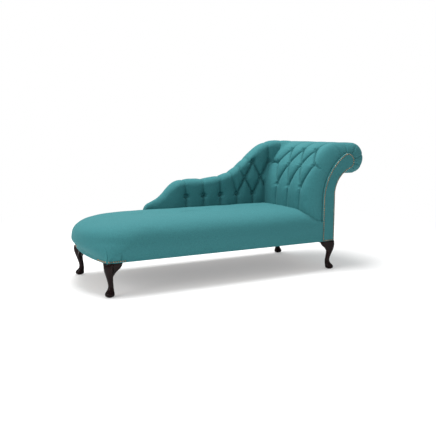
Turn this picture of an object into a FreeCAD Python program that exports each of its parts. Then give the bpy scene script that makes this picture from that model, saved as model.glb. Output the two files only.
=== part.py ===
import FreeCAD, Part
import math
import os

# Chaise longue: stuffed-over seat, deep-buttoned scroll end and half back, four cabriole legs.
# Millimetres. +X runs towards the scroll end, -Y is the open front, +Z is up.
# The origin is on the floor, under the middle of the overall length and depth.

# Overall sizes
overall_length = 1790.0
overall_depth = 656.0
leg_height = 180.0
seat_height = 386.0

# Seat frame
foot_overhang = 90.0
head_overhang = 230.0
seat_bulge = 18.0
foot_bow = 32.0
rail_height = seat_height - leg_height - 116.0
rail_thickness = 26.0
skirt = 8.0
cross_rail_height = 60.0
cross_rail_thickness = 24.0
corner_block = 60.0
corner_block_height = 55.0
webbing_thickness = 2.5
webbing_width = 60.0
webbing_pitch = 118.0
hessian_thickness = 1.0
dust_cover_thickness = 1.0
fit = 0.3

# Seat padding
seat_foam_inset = 20.0
seat_foam_shoulder = seat_height - 41.0
seat_foam_top = seat_height - 20.0
seat_foam_draw_in = 50.0
widest_height = seat_height - 86.0
widest_corner_radius = 198.0
widest_end_radius = 415.0
base_corner_radius = 14.0
head_side_bulge = 3.0
crown_drops = (56.0, 34.0, 19.0, 10.0, 4.0)
crown_insets = (6.0, 20.0, 43.0, 78.0, 128.0)
crown_flat_inset = 218.0
corner_facets = 8
end_facets = 12

# Scroll frame
scroll_depth = 88.0
scroll_board = 24.0
facing_thickness = 12.0
facing_edge = 2.5
hollow_radius = 337.0
neck_radius = 166.0
bulb_radius = 50.0
bulb_reach = 183.0
bulb_height = 671.0
scroll_rail = 26.0
tack_rail_bottom = seat_height - 66.0
tack_rail_top = seat_height - 34.0
outside_panel = 2.5
neck_end_turn = 56.0
scroll_webs = 3

# Buttoned pad of the scroll end
scroll_pad_thickness = 95.5
scroll_foam = 18.0
scroll_pad_bottom = seat_height - 88.0
face_end_lift = 55.35
face_start = seat_height + 64.0
face_turn = 42.0
roll_radius = 97.0
roll_height = bulb_height + 20.0
scroll_button_turns = (10.0, 30.0, 52.0)
scroll_plain_front = 79.0
scroll_plain_rear = 159.0
dimple_depth = 30.0
crease_depth = 16.0
dimple_width = 26.0
pleat_width = 8.0
pad_end_round = 54.0
scroll_rear_step = 80.0
scroll_facets = (3, 2, 2, 3, 3, 3, 3, 3, 2, 3)

# Back rest
back_length = 1037.0
back_frame_thickness = 25.0
back_button_reach = 772.0
back_nose_post = 50.0
back_nose_height = seat_height - 20.0
back_levels = (seat_height + 19.0, seat_height + 164.0, bulb_height + 124.0)
back_top_padding = 22.0
back_top_rail = 55.0
back_upright = 45.0
back_tack_top = seat_height - 8.0
back_foam = 23.5
back_pad_bottom = seat_height - 41.0
back_roll = 40.0
back_step = 36.0
back_button_pitch = 123.5
back_rows = (seat_height + 59.0, seat_height + 165.0)
back_high_row_drop = 57.5
back_dimple_depth = 26.0
back_facets = (3, 2, 3, 2, 3, 4)
back_crease_depth = 12.0

# Buttons and nails
button_radius = 11.0
button_rise = 5.0
button_lift = 3.0
button_shank_radius = 3.0
button_sides = 8
nail_radius = 5.0
nail_sides = 5
nail_rise = 2.5
nail_pitch = 12.5
nail_inset = 6.0
corner_nails = 8
corner_nail_height = 8.0

# Legs
leg_inset = 4.0
leg_block = 70.0
leg_block_height = 14.0
leg_pad_inset = 20.0
knee_ear = 88.0
knee_ear_drop = 44.0
knee_ear_tip = 9.0
knee_ear_thickness = 22.0
leg_sides = 12
glide_radius = 12.0
glide_height = 2.5
bolt_radius = 4.0
bolt_inset = 52.0
bolt_in_leg = 30.0
washer_radius = 12.0
washer_thickness = 2.0
nut_radius = 7.5
nut_height = 6.5

# Places worked out from the sizes above
foot_x = -overall_length / 2 + foot_overhang
head_x = overall_length / 2 - head_overhang
base_half = overall_depth / 2 - seat_bulge
rail_top = leg_height + rail_height
rail_outer = base_half - skirt
rail_inner = rail_outer - rail_thickness
scroll_in = head_x - scroll_depth
facing_outer = base_half + 1.0
board_outer = facing_outer - facing_thickness
board_inner = board_outer - scroll_board
scroll_button_pitch = (2 * board_outer - scroll_plain_front - scroll_plain_rear) / 3
scroll_button_middle = (scroll_plain_front - scroll_plain_rear) / 2
bulb_x = scroll_in + bulb_reach
face_radius = (bulb_height + face_end_lift - face_start) / math.sin(math.radians(face_turn))
roll_x = overall_length / 2 - roll_radius
webbing_top = rail_top + webbing_thickness
hessian_top = webbing_top + hessian_thickness
back_frame_inner = rail_outer - back_frame_thickness
back_start = head_x - back_length
back_first_rise = (back_start + 27.0, back_start + 232.0)
back_second_rise = (head_x - 545.0, head_x - 105.0)
back_face_taper = (back_start + 7.0, back_start + 222.0)
back_face_foot = rail_outer - 40.0
back_face_head = rail_outer - 97.0
back_button_first = head_x - back_button_reach
back_pad_end = scroll_in + scroll_rail


def vec(x, y, z):
    return FreeCAD.Vector(x, y, z)


def box(x0, x1, y0, y1, z0, z1):
    return Part.makeBox(x1 - x0, y1 - y0, z1 - z0, vec(x0, y0, z0))


def ring(x, y, z, radius, sides):
    """Corners of a level polygon, evenly round a circle."""
    turns = [2 * math.pi * k / sides for k in range(sides)]
    return [vec(x + radius * math.cos(a), y + radius * math.sin(a), z) for a in turns]


def rod(x, y, z0, z1, radius, sides=12):
    wire = Part.makePolygon(ring(x, y, z0, radius, sides) + ring(x, y, z0, radius, sides)[:1])
    return prism(wire, vec(0, 0, z1 - z0))


def line(a, b):
    return Part.LineSegment(a, b).toShape()


def arc(a, m, b):
    return Part.Arc(a, m, b).toShape()


def facet_arc(a, m, b, count):
    """Straight edges along the arc through three points, or along the line where they lie in one."""
    middle = a.add(b).multiply(0.5)
    straight = m.sub(middle).Length < 0.2
    path = line(a, b) if straight else arc(a, m, b)
    points = path.discretize(Number=count + 1)
    return [line(points[i], points[i + 1]) for i in range(count)]


def closed(edges):
    return Part.Wire(Part.__sortEdges__(edges))


def prism(wire, direction):
    return Part.Face(wire).extrude(direction)


def flat_face(points):
    return Part.Face(Part.makePolygon(points + points[:1]))


def net(rings):
    """A solid skinned over rings of points: flat faces where four corners lie level, else two halves."""
    faces = [flat_face(rings[0]), flat_face(rings[-1])]
    for low, high in zip(rings, rings[1:]):
        for a, b, c, d in zip(low, low[1:] + low[:1], high[1:] + high[:1], high):
            across = b.sub(a).cross(d.sub(a))
            if abs(c.sub(a).dot(across)) < 0.001 * across.Length:
                faces.append(flat_face([a, b, c, d]))
            elif a.distanceToPoint(c) <= b.distanceToPoint(d):
                faces += [flat_face([a, b, c]), flat_face([a, c, d])]
            else:
                faces += [flat_face([a, b, d]), flat_face([b, c, d])]
    shell = Part.makeShell(faces)
    shell.sewShape()
    solid = Part.makeSolid(shell)
    if solid.Volume < 0:
        solid.reverse()
    return solid


def corners_of(edges):
    """The corner points along straight edges that follow each other."""
    return [edge.Vertexes[0].Point for edge in edges]


def mirrored_in_y(shape):
    return shape.mirror(vec(0, 0, 0), vec(0, 1, 0))


def group(shapes):
    return Part.makeCompound(shapes)


def lerp(a, b, t):
    return a + (b - a) * t


def ease(t):
    t = min(1.0, max(0.0, t))
    return (1 - math.cos(math.pi * t)) / 2


# Plan outlines of the seat


def plan_outline(z, head_half, foot_half, nose_x, corner_radius, end_radius, tail_x):
    """Corners of a seat outline: straight sides, two corner arcs and one long arc round the foot end."""
    drop = math.sqrt((end_radius - corner_radius) ** 2 - (foot_half - corner_radius) ** 2)
    cx = nose_x + end_radius - drop
    cy = foot_half - corner_radius
    turn = math.atan2(cy, nose_x + end_radius - cx)
    half = turn / 2 + math.pi / 4

    def on_corner(angle, side):
        return vec(cx - corner_radius * math.cos(angle), side * (cy + corner_radius * math.sin(angle)), z)

    a = on_corner(math.pi / 2, -1)
    b = on_corner(turn, -1)
    c = on_corner(turn, 1)
    d = on_corner(math.pi / 2, 1)
    front = vec(tail_x, -head_half, z)
    rear = vec(tail_x, head_half, z)
    edges = facet_arc(a, on_corner(half, -1), b, corner_facets)
    edges += facet_arc(b, vec(nose_x, 0, z), c, end_facets)
    edges += facet_arc(c, on_corner(half, 1), d, corner_facets)
    return [front] + corners_of(edges) + [d, rear]


def swollen_outline(z, swell, tail_x, inset=0.0):
    """Between the base, swell 0, and the widest level of the seat, swell 1, drawn in by an inset."""
    chord = base_half - base_corner_radius
    base_radius = (chord**2 + foot_bow**2) / (2 * foot_bow)
    end_radius = 1 / lerp(1 / base_radius, 1 / widest_end_radius, swell) - inset
    corner = max(lerp(base_corner_radius, widest_corner_radius, swell) - inset, 2.0)
    head_half = base_half + head_side_bulge * swell - inset
    foot_half = base_half + seat_bulge * swell - inset
    nose_x = foot_x - lerp(foot_bow, foot_overhang, swell) + inset
    return plan_outline(z, head_half, foot_half, nose_x, corner, end_radius, tail_x)


def side_levels():
    """Heights up the side of the seat, with how far it has swollen at each."""
    low = leg_height + 18.0
    levels = [(leg_height, 0.0), (low, 0.0)]
    for share in (0.33, 0.67, 1.0):
        levels.append((lerp(low, widest_height, share), math.sin(share * math.pi / 2)))
    return levels


def swell_at(height):
    """How far the side has swollen at a height, read between the levels."""
    levels = side_levels()
    for (z0, swell0), (z1, swell1) in zip(levels, levels[1:]):
        if height <= z1:
            return lerp(swell0, swell1, (height - z0) / (z1 - z0))
    return 1.0


def inside_of_cover(inset):
    """The room inside the cover, from under the rails to the top of the hessian."""
    tail = scroll_in - fit if inset >= skirt else scroll_in + 5.0
    top = hessian_top if inset >= skirt else hessian_top + fit
    rings = [swollen_outline(z, swell, tail, inset) for z, swell in side_levels() if z < top - 1.0]
    rings.append(swollen_outline(top, swell_at(top), tail, inset))
    return net(rings)


def crown_outline(z, inset, tail_x):
    """Above the widest level, drawn in towards the flat top."""
    foot_half = base_half + seat_bulge - inset
    head_half = base_half + head_side_bulge - inset
    share = foot_half / (base_half + seat_bulge)
    corner = widest_corner_radius * share
    end_radius = widest_end_radius * share
    return plan_outline(z, head_half, foot_half, foot_x - foot_overhang + inset, corner, end_radius, tail_x)


# The S of the scroll end. Turns are in degrees from -X, over the top towards +X.


def on_circle(cx, cz, radius, turn, y=0.0):
    a = math.radians(turn)
    return vec(cx - radius * math.cos(a), y, cz + radius * math.sin(a))


def turn_of(dx, dz):
    return math.degrees(math.atan2(dz, -dx)) % 360.0


hollow_x = scroll_in + hollow_radius
hollow_z = bulb_height - math.sqrt((hollow_radius - bulb_radius) ** 2 - (hollow_x - bulb_x) ** 2)
neck_x = head_x - outside_panel - fit + neck_radius
neck_z = bulb_height - math.sqrt((neck_radius + bulb_radius) ** 2 - (neck_x - bulb_x) ** 2)
hollow_turn = turn_of(bulb_x - hollow_x, bulb_height - hollow_z)
neck_turn = turn_of(bulb_x - neck_x, bulb_height - neck_z)
bulb_last_turn = neck_turn + 180.0


def scroll_path(offset, z_low, y, last):
    """Edges up the inner side and over the bulb, set off outwards: last is bulb or neck."""
    a = vec(scroll_in - offset, y, z_low)
    b = on_circle(hollow_x, hollow_z, hollow_radius + offset, 0, y)
    c = on_circle(hollow_x, hollow_z, hollow_radius + offset, hollow_turn, y)
    c_mid = on_circle(hollow_x, hollow_z, hollow_radius + offset, hollow_turn / 2, y)
    end_turn = bulb_last_turn if last != "crest" else 100.0
    d = on_circle(bulb_x, bulb_height, bulb_radius + offset, end_turn, y)
    d_mid = on_circle(bulb_x, bulb_height, bulb_radius + offset, (hollow_turn + end_turn) / 2, y)
    edges = [line(a, b), arc(b, c_mid, c), arc(c, d_mid, d)]
    if last == "neck":
        radius = neck_radius - offset
        e = on_circle(neck_x, neck_z, radius, neck_end_turn, y)
        e_mid = on_circle(neck_x, neck_z, radius, (neck_turn + neck_end_turn) / 2, y)
        edges.append(arc(d, e_mid, e))
        return edges, a, e
    return edges, a, d


def scroll_outline(offset, z_low, y):
    """The whole outline of a scroll board or facing."""
    edges, a, d = scroll_path(offset, z_low, y, "bulb")
    radius = neck_radius - offset
    e = on_circle(neck_x, neck_z, radius, 0, y)
    e_mid = on_circle(neck_x, neck_z, radius, neck_turn / 2, y)
    f = vec(neck_x - radius, y, z_low)
    edges += [arc(d, e_mid, e), line(e, f), line(f, a)]
    return Part.Wire(edges)


def scroll_band(offset_a, offset_b, z_low, y0, y1, last):
    """A layer that lies on the scroll's inner side and goes over the bulb."""
    under, a0, a1 = scroll_path(offset_a, z_low, y0, last)
    over, b0, b1 = scroll_path(offset_b, z_low, y0, last)
    wire = closed(under + over + [line(a0, b0), line(a1, b1)])
    return prism(wire, vec(0, y1 - y0, 0))


# Crown line of the scroll pad: face, hollow, crest, roll and underside.

face_x = scroll_in - fit - scroll_pad_thickness
face_cx = face_x + face_radius
face_end = on_circle(face_cx, face_start, face_radius, face_turn)
turn_c = math.cos(math.radians(face_turn))
turn_s = math.sin(math.radians(face_turn))
to_roll_x = face_end.x - roll_x
to_roll_z = face_end.z - roll_height
crest_radius = (roll_radius**2 - to_roll_x**2 - to_roll_z**2) / (
    2 * (to_roll_x * turn_c - to_roll_z * turn_s) + 2 * roll_radius
)
crest_x = face_end.x + crest_radius * turn_c
crest_z = face_end.z - crest_radius * turn_s
roll_turn = turn_of(roll_x - crest_x, roll_height - crest_z)


def crown_point(turn):
    if turn <= face_turn:
        return on_circle(face_cx, face_start, face_radius, turn)
    if turn <= roll_turn:
        return on_circle(crest_x, crest_z, crest_radius, turn)
    return on_circle(roll_x, roll_height, roll_radius, turn)


def hit_circle(p, to, cx, cz, radius, far):
    """Where the line from p towards a point meets a circle."""
    d = to.sub(p).normalize()
    m = vec(p.x - cx, 0, p.z - cz)
    b = m.dot(d)
    root = math.sqrt(max(b * b - (m.dot(m) - radius**2), 0.0))
    return p.add(d.multiply(-b + root if far else -b - root))


def scroll_base_point(turn):
    """The point of the scroll's own outline, a fit away, that backs a point of the crown line."""
    p = crown_point(turn)
    if turn <= face_turn:
        q = hit_circle(p, vec(face_cx, 0, face_start), hollow_x, hollow_z, hollow_radius + fit, False)
        if q.z < hollow_z:
            return vec(scroll_in - fit, 0, p.z)
        if turn_of(q.x - hollow_x, q.z - hollow_z) < hollow_turn:
            return q
    start = hollow_turn
    share = (turn - face_turn) / (270.0 - face_turn)
    on_bulb = lerp(hollow_turn, bulb_last_turn, max(share, 0.0))
    return on_circle(bulb_x, bulb_height, bulb_radius + fit, max(on_bulb, start))


def between_rows(turn):
    """How far the button columns have shifted: 0 on the first and third rows, 1 on the second."""
    low, mid, high = scroll_button_turns
    if turn <= low or turn >= high:
        return 0.0
    return (turn - low) / (mid - low) if turn <= mid else (high - turn) / (high - mid)


def scroll_depth_at(turn):
    """Depth of the creases below the crown line."""
    low, high = scroll_button_turns[0], scroll_button_turns[-1]
    if turn in scroll_button_turns:
        return dimple_depth
    if low < turn < high:
        return crease_depth
    if turn < low:
        return crease_depth * lerp(0.75, 1.0, turn / low)
    fade = (turn - high) / (270.0 - high)
    return lerp(crease_depth, 3.0, min(1.0, fade * 1.4))


def scroll_section(base, crown, turn, depth, width):
    """One section across the pad, from the rear edge over the pillows to the front edge."""
    up = crown.sub(base)
    height = up.Length
    up.normalize()
    floor = height - min(depth, height * 0.45)
    shift = between_rows(turn)
    second_row = shift == 1.0
    reach = lerp(width / 2, scroll_button_pitch / 2 - width / 2, shift)
    creases = []
    for k in (1, 0, -1):
        column = scroll_button_middle + scroll_button_pitch * k
        creases += [column + reach, column - reach]
    round_y = board_outer - pad_end_round
    rear = (creases[0] + width, floor) if second_row else (round_y - scroll_rear_step, height)
    front = (creases[-1] - width, floor) if second_row else (-round_y, height)
    points = [(board_outer, 0.0), (round_y, height), rear]
    points += [(y, floor) for y in creases]
    points += [front, (-board_outer, 0.0)]

    def at(y, h):
        return base.add(vec(0, y, 0)).add(vec(up.x * h, 0, up.z * h))

    edges = []
    last = len(points) - 2
    for k in range(last + 1):
        (y0, h0), (y1, h1) = points[k], points[k + 1]
        middle = (y0 + y1) / 2
        if k in (0, last):
            middle = math.copysign(board_outer - 0.35 * pad_end_round, middle)
            lift = 0.6 * height
        elif h0 == h1 == floor and abs(y1 - y0) > dimple_width * 1.3:
            lift = height
        else:
            lift = lerp(min(h0, h1), max(h0, h1), 0.8)
        edges += facet_arc(at(y0, h0), at(middle, lift), at(y1, h1), scroll_facets[k])
    return corners_of(edges) + [at(*points[-1])]


def scroll_pad_form():
    """The whole buttoned pad, lofted up the face, over the crest and round the roll."""
    low, mid, high = scroll_button_turns
    stations = []
    for share in (0.0, 0.5):
        z = lerp(scroll_pad_bottom, face_start, share)
        depth = crease_depth * lerp(0.3, 0.75, share)
        stations.append((vec(scroll_in - fit, 0, z), vec(face_x, 0, z), 0.0, depth, pleat_width))
    turns = [0.0, low, (low + mid) / 2, mid, (mid + high) / 2, high]
    turns += [62.0, 75.0, 90.0, 106.0, 124.0, 144.0, 165.0, 187.0, 210.0, 240.0, 270.0]
    for turn in turns:
        width = dimple_width if low <= turn <= high else pleat_width
        stations.append((scroll_base_point(turn), crown_point(turn), turn, scroll_depth_at(turn), width))
    base = on_circle(neck_x, neck_z, neck_radius - fit, neck_end_turn + 1.0)
    crown = vec(base.x + 2.0, 0, roll_height - roll_radius)
    stations.append((base, crown, 270.0, 1.0, pleat_width))
    return net([scroll_section(*s) for s in stations])


def scroll_pad():
    """The stuffing in its buttoned cover; the firm layer under it is taken out of the form."""
    under = scroll_band(-scroll_board, webbing_thickness + hessian_thickness + scroll_foam + fit,
                        scroll_pad_bottom - 10.0, -board_inner - fit, board_inner + fit, "neck")
    boards = prism(scroll_outline(fit, leg_height, -overall_depth), vec(0, 2 * overall_depth, 0))
    return scroll_pad_form().cut(under).cut(boards).cut(button_rooms(scroll_button_places()))


def scroll_zone(clearance):
    """The room that the lower part of the scroll pad takes where the seat meets it."""
    z = scroll_pad_bottom - clearance
    x0 = face_x - clearance
    x1 = scroll_in + 100.0
    y0 = board_outer - pad_end_round + clearance
    y1 = board_outer + clearance
    y_mid = board_outer - 0.35 * pad_end_round + clearance
    x_mid = scroll_in - fit - 0.6 * scroll_pad_thickness - clearance
    edges = []
    for side in (-1, 1):
        near = vec(scroll_in - fit, side * y1, z)
        edges.append(arc(vec(x0, side * y0, z), vec(x_mid, side * y_mid, z), near))
        edges.append(line(near, vec(x1, side * y1, z)))
    edges.append(line(vec(x0, -y0, z), vec(x0, y0, z)))
    edges.append(line(vec(x1, -y1, z), vec(x1, y1, z)))
    return prism(closed(edges), vec(0, 0, face_start - z))


# Seat frame


def side_rail(side):
    """Front or back rail, with a square end against the scroll board."""
    y0, y1 = sorted((side * rail_inner, side * rail_outer))
    rail = box(foot_x + skirt, scroll_in - fit, y0, y1, leg_height, rail_top)
    return rail.common(inside_of_cover(skirt))


def foot_rail():
    """Bowed rail between the two side rails, sawn to the curve of the foot end."""
    x1 = foot_x + skirt + rail_thickness
    keep = box(foot_x - foot_overhang, x1, -rail_inner, rail_inner, leg_height, rail_top)
    bowed = flat_face(swollen_outline(leg_height, 0.0, scroll_in, skirt)).extrude(vec(0, 0, rail_height))
    return keep.common(bowed).common(inside_of_cover(skirt))


def head_rail():
    x1 = head_x - outside_panel - fit
    return box(x1 - rail_thickness, x1, -board_inner, board_inner, leg_height, rail_top)


def cross_rails():
    span = (scroll_in - foot_x) / 3
    shapes = []
    for k in (1, 2):
        x = foot_x + span * k
        z0 = rail_top - cross_rail_height - 15.0
        shapes.append(box(x, x + cross_rail_thickness, -rail_inner, rail_inner, z0, z0 + cross_rail_height))
    return group(shapes)


def leg_corners():
    """Corner of the base and the directions inwards, for each of the four legs."""
    return {
        "front_foot": (foot_x, -base_half, 1, 1),
        "rear_foot": (foot_x, base_half, 1, -1),
        "front_head": (head_x, -base_half, -1, 1),
        "rear_head": (head_x, base_half, -1, -1),
    }


def inward_box(corner, x_from, x_to, y_from, y_to, z0, z1):
    cx, cy, sx, sy = corner
    xs = sorted((cx + sx * x_from, cx + sx * x_to))
    ys = sorted((cy + sy * y_from, cy + sy * y_to))
    return box(xs[0], xs[1], ys[0], ys[1], z0, z1)


def corner_blocks():
    """Glued blocks that tie the rails at the corners and take the leg bolts."""
    shapes = []
    for name, corner in leg_corners().items():
        head = name.endswith("head")
        x_from = skirt + rail_thickness if not head else outside_panel + fit + rail_thickness
        y_from = base_half - (board_inner if head else rail_inner)
        block = inward_box(corner, x_from, x_from + corner_block, y_from, y_from + corner_block,
                           leg_height, leg_height + corner_block_height)
        x, y = bolt_place(corner)
        block = block.cut(rod(x, y, leg_height, rail_top, bolt_radius + fit))
        shapes.append(block if head else block.common(inside_of_cover(skirt)))
    return group(shapes)


def bolt_place(corner):
    cx, cy, sx, sy = corner
    return cx + sx * bolt_inset, cy + sy * bolt_inset


def on_each_bolt(make):
    return group([make(*bolt_place(corner)) for corner in leg_corners().values()])


def leg_bolt(x, y):
    top = leg_height + corner_block_height + washer_thickness + nut_height + 4.0
    return rod(x, y, leg_height - bolt_in_leg, top, bolt_radius)


def leg_washer(x, y):
    z = leg_height + corner_block_height
    ring = rod(x, y, z, z + washer_thickness, washer_radius)
    return ring.cut(rod(x, y, z, z + washer_thickness, bolt_radius + fit))


def leg_nut(x, y):
    z = leg_height + corner_block_height + washer_thickness
    nut = rod(x, y, z, z + nut_height, nut_radius, 6)
    return nut.cut(rod(x, y, z, z + nut_height, bolt_radius + 0.05))


def dust_cover():
    """Black cloth tacked under the frame, cut back round the legs."""
    z0 = leg_height - dust_cover_thickness
    edge = rail_inner + 5.0
    lap = base_half - edge
    x0 = foot_x + lap
    x1 = head_x - outside_panel - lap
    sheet = box(x0, x1, -edge, edge, z0, leg_height)
    for corner in leg_corners().values():
        sheet = sheet.cut(inward_box(corner, 0, leg_inset + leg_block + 1.0, 0, leg_inset + leg_block + 1.0,
                                     z0, leg_height))
    return sheet


# Legs


def leg_rounds():
    """Height, outward offset along the diagonal and radius of the round sections of a leg."""
    return (
        (glide_height, 0.0, 18.0),
        (glide_height + 4.0, 0.0, 23.5),
        (13.0, 0.0, 25.5),
        (23.0, -2.0, 24.5),
        (37.0, -11.0, 18.0),
        (54.0, -14.0, 14.5),
        (74.0, -10.5, 14.5),
        (98.0, -4.5, 17.5),
        (122.0, 0.5, 21.0),
        (144.0, 4.0, 24.5),
        (leg_height - leg_block_height, 4.0, 26.5),
    )


def leg(corner):
    """One cabriole leg: pad foot, ankle, knee, square top and a bracket each side of the knee."""
    cx, cy, sx, sy = corner
    px = cx + sx * leg_pad_inset
    py = cy + sy * leg_pad_inset
    rounds = []
    for z, out, radius in leg_rounds():
        x = px - sx * out / math.sqrt(2)
        y = py - sy * out / math.sqrt(2)
        rounds.append(ring(x, y, z, radius, leg_sides))
    shape = net(rounds)
    shape = shape.fuse(inward_box(corner, leg_inset, leg_inset + leg_block, leg_inset, leg_inset + leg_block,
                                  leg_height - leg_block_height, leg_height))
    shape = shape.fuse(knee_bracket(corner, True)).fuse(knee_bracket(corner, False))
    x, y = bolt_place(corner)
    hole = rod(x, y, leg_height - bolt_in_leg, leg_height, bolt_radius + 0.05)
    return shape.cut(hole).removeSplitter()


def knee_bracket(corner, along_x):
    """The scrolled ear between knee and rail, cut from 22 mm stock."""
    cx, cy, sx, sy = corner
    top = leg_height
    near = leg_pad_inset + 8.0
    outline = [
        (near, top),
        (knee_ear, top),
        (knee_ear, top - knee_ear_tip),
        (near + 12.0, top - knee_ear_drop),
        (near, top - knee_ear_drop - 6.0),
    ]
    across = leg_inset + 2.0

    def at(run, z, depth):
        if along_x:
            return vec(cx + sx * run, cy + sy * depth, z)
        return vec(cx + sx * depth, cy + sy * run, z)

    p = [at(run, z, across) for run, z in outline]
    sweep = at((knee_ear + near) / 2 - 6.0, top - knee_ear_drop * 0.5, across)
    points = p[:2] + corners_of(facet_arc(p[2], sweep, p[3], 5)) + p[3:]
    depth = sy * knee_ear_thickness if along_x else sx * knee_ear_thickness
    return flat_face(points).extrude(vec(0, depth, 0) if along_x else vec(depth, 0, 0))


def glides():
    shapes = []
    for cx, cy, sx, sy in leg_corners().values():
        shapes.append(rod(cx + sx * leg_pad_inset, cy + sy * leg_pad_inset, 0, glide_height, glide_radius))
    return group(shapes)


# Seat upholstery


def seat_webbing():
    count = int((scroll_in - foot_x - webbing_width) // webbing_pitch)
    shapes = []
    for k in range(count + 1):
        x = foot_x + skirt + 14.0 + k * webbing_pitch
        if x + webbing_width < scroll_in - fit:
            shapes.append(box(x, x + webbing_width, -rail_outer + 3, rail_outer - 3, rail_top, webbing_top))
    inside = inside_of_cover(skirt)
    return [s.cut(back_frame_room(0.0)).common(inside) for s in shapes]


def back_frame_room(clearance):
    """The strip over the back rail where the back frame stands."""
    return box(back_start - clearance, scroll_in + 10, back_frame_inner - clearance, rail_outer + 20,
               rail_top - 1.0, seat_height + 34.0)


def seat_hessian():
    sheet = box(foot_x - foot_overhang, scroll_in - fit, -rail_outer, rail_outer, webbing_top, hessian_top)
    return sheet.common(inside_of_cover(skirt + 3.0)).cut(back_frame_room(fit))


def seat_foam_form(clearance):
    """Firm core of the seat: straight sides, then a draw-in to the crown."""
    inset = seat_foam_inset - clearance
    nose = foot_x - 45.0 - clearance
    tail = scroll_in - fit
    shoulder = seat_foam_shoulder + clearance

    def outline(z, draw_in):
        half = base_half - inset - draw_in
        corner = 150.0 * half / base_half
        return plan_outline(z, half, half, nose + draw_in, corner, 420.0 * half / base_half, tail)

    low = hessian_top + fit - clearance
    top = outline(seat_foam_top + clearance, seat_foam_draw_in)
    return net([outline(low, 0.0), outline(shoulder, 0.0), top])


def seat_foam():
    return seat_foam_form(0.0).cut(scroll_zone(fit)).cut(back_zone(fit))


def seat_cover():
    """Cover and wadding: swollen sides, crowned top, rounded foot end, open underneath."""
    tail = scroll_in - fit
    rings = [swollen_outline(z, swell, tail) for z, swell in side_levels()]
    for drop, inset in zip(crown_drops, crown_insets):
        rings.append(crown_outline(seat_height - drop, inset, tail))
    rings.append(crown_outline(seat_height, crown_flat_inset, tail))
    form = net(rings)
    form = form.cut(inside_of_cover(skirt - fit)).cut(seat_foam_form(fit))
    form = form.cut(scroll_zone(fit)).cut(back_zone(fit))
    behind = box(back_start - 2.0, tail + 10, rail_outer - 1.0, overall_depth, leg_height - 5, seat_height + 20)
    return form.cut(behind)


# Back rest


def back_top(x):
    """Height of the serpentine top line."""
    nose_x, first_x = back_start, back_first_rise[0]
    if x < first_x:
        t = (x - nose_x) / (first_x - nose_x)
        return lerp(back_nose_height, back_levels[0], math.sqrt(max(0.0, t * (2 - t))))
    if x < back_first_rise[1]:
        t = (x - first_x) / (back_first_rise[1] - first_x)
        return lerp(back_levels[0], back_levels[1], ease(t))
    t = (x - back_second_rise[0]) / (back_second_rise[1] - back_second_rise[0])
    return lerp(back_levels[1], back_levels[2], ease(t))


def back_high_row():
    """Height of the short third row, under the top line where its first button sits."""
    return back_top(back_button_first + 4 * back_button_pitch) - back_high_row_drop


def back_face(x):
    """How far forward the face of the back rest stands."""
    t = (x - back_face_taper[0]) / (back_face_taper[1] - back_face_taper[0])
    return lerp(back_face_foot, back_face_head, ease(t))


def under_back(drop, z_low, y0, y1, x_from, x_to):
    """Everything between a level and the lowered top line, which runs in short straight steps."""
    steps = max(2, round((x_to - x_from) / back_step))
    xs = [lerp(x_from, x_to, k / steps) for k in range(steps + 1)]
    points = [vec(x, y0, back_top(x) - drop) for x in xs]
    points += [vec(x_to, y0, z_low), vec(x_from, y0, z_low)]
    return prism(Part.makePolygon(points + points[:1]), vec(0, y1 - y0, 0))


def scroll_side(clearance):
    """The room taken by the scroll end, as seen from the side."""
    y = -overall_depth
    z = scroll_pad_bottom - 60.0
    x0 = face_x - clearance
    a = vec(x0, y, z)
    b = on_circle(face_cx, face_start, face_radius + clearance, 0, y)
    c_mid = on_circle(face_cx, face_start, face_radius + clearance, face_turn / 2, y)
    c = on_circle(face_cx, face_start, face_radius + clearance, face_turn, y)
    d_mid = on_circle(crest_x, crest_z, crest_radius + clearance, (face_turn + 88.0) / 2, y)
    d = on_circle(crest_x, crest_z, crest_radius + clearance, 88.0, y)
    e = vec(overall_length, y, d.z)
    f = vec(overall_length, y, z)
    wire = Part.Wire([line(a, b), arc(b, c_mid, c), arc(c, d_mid, d), line(d, e), line(e, f), line(f, a)])
    return prism(wire, vec(0, 2 * overall_depth, 0))


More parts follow.
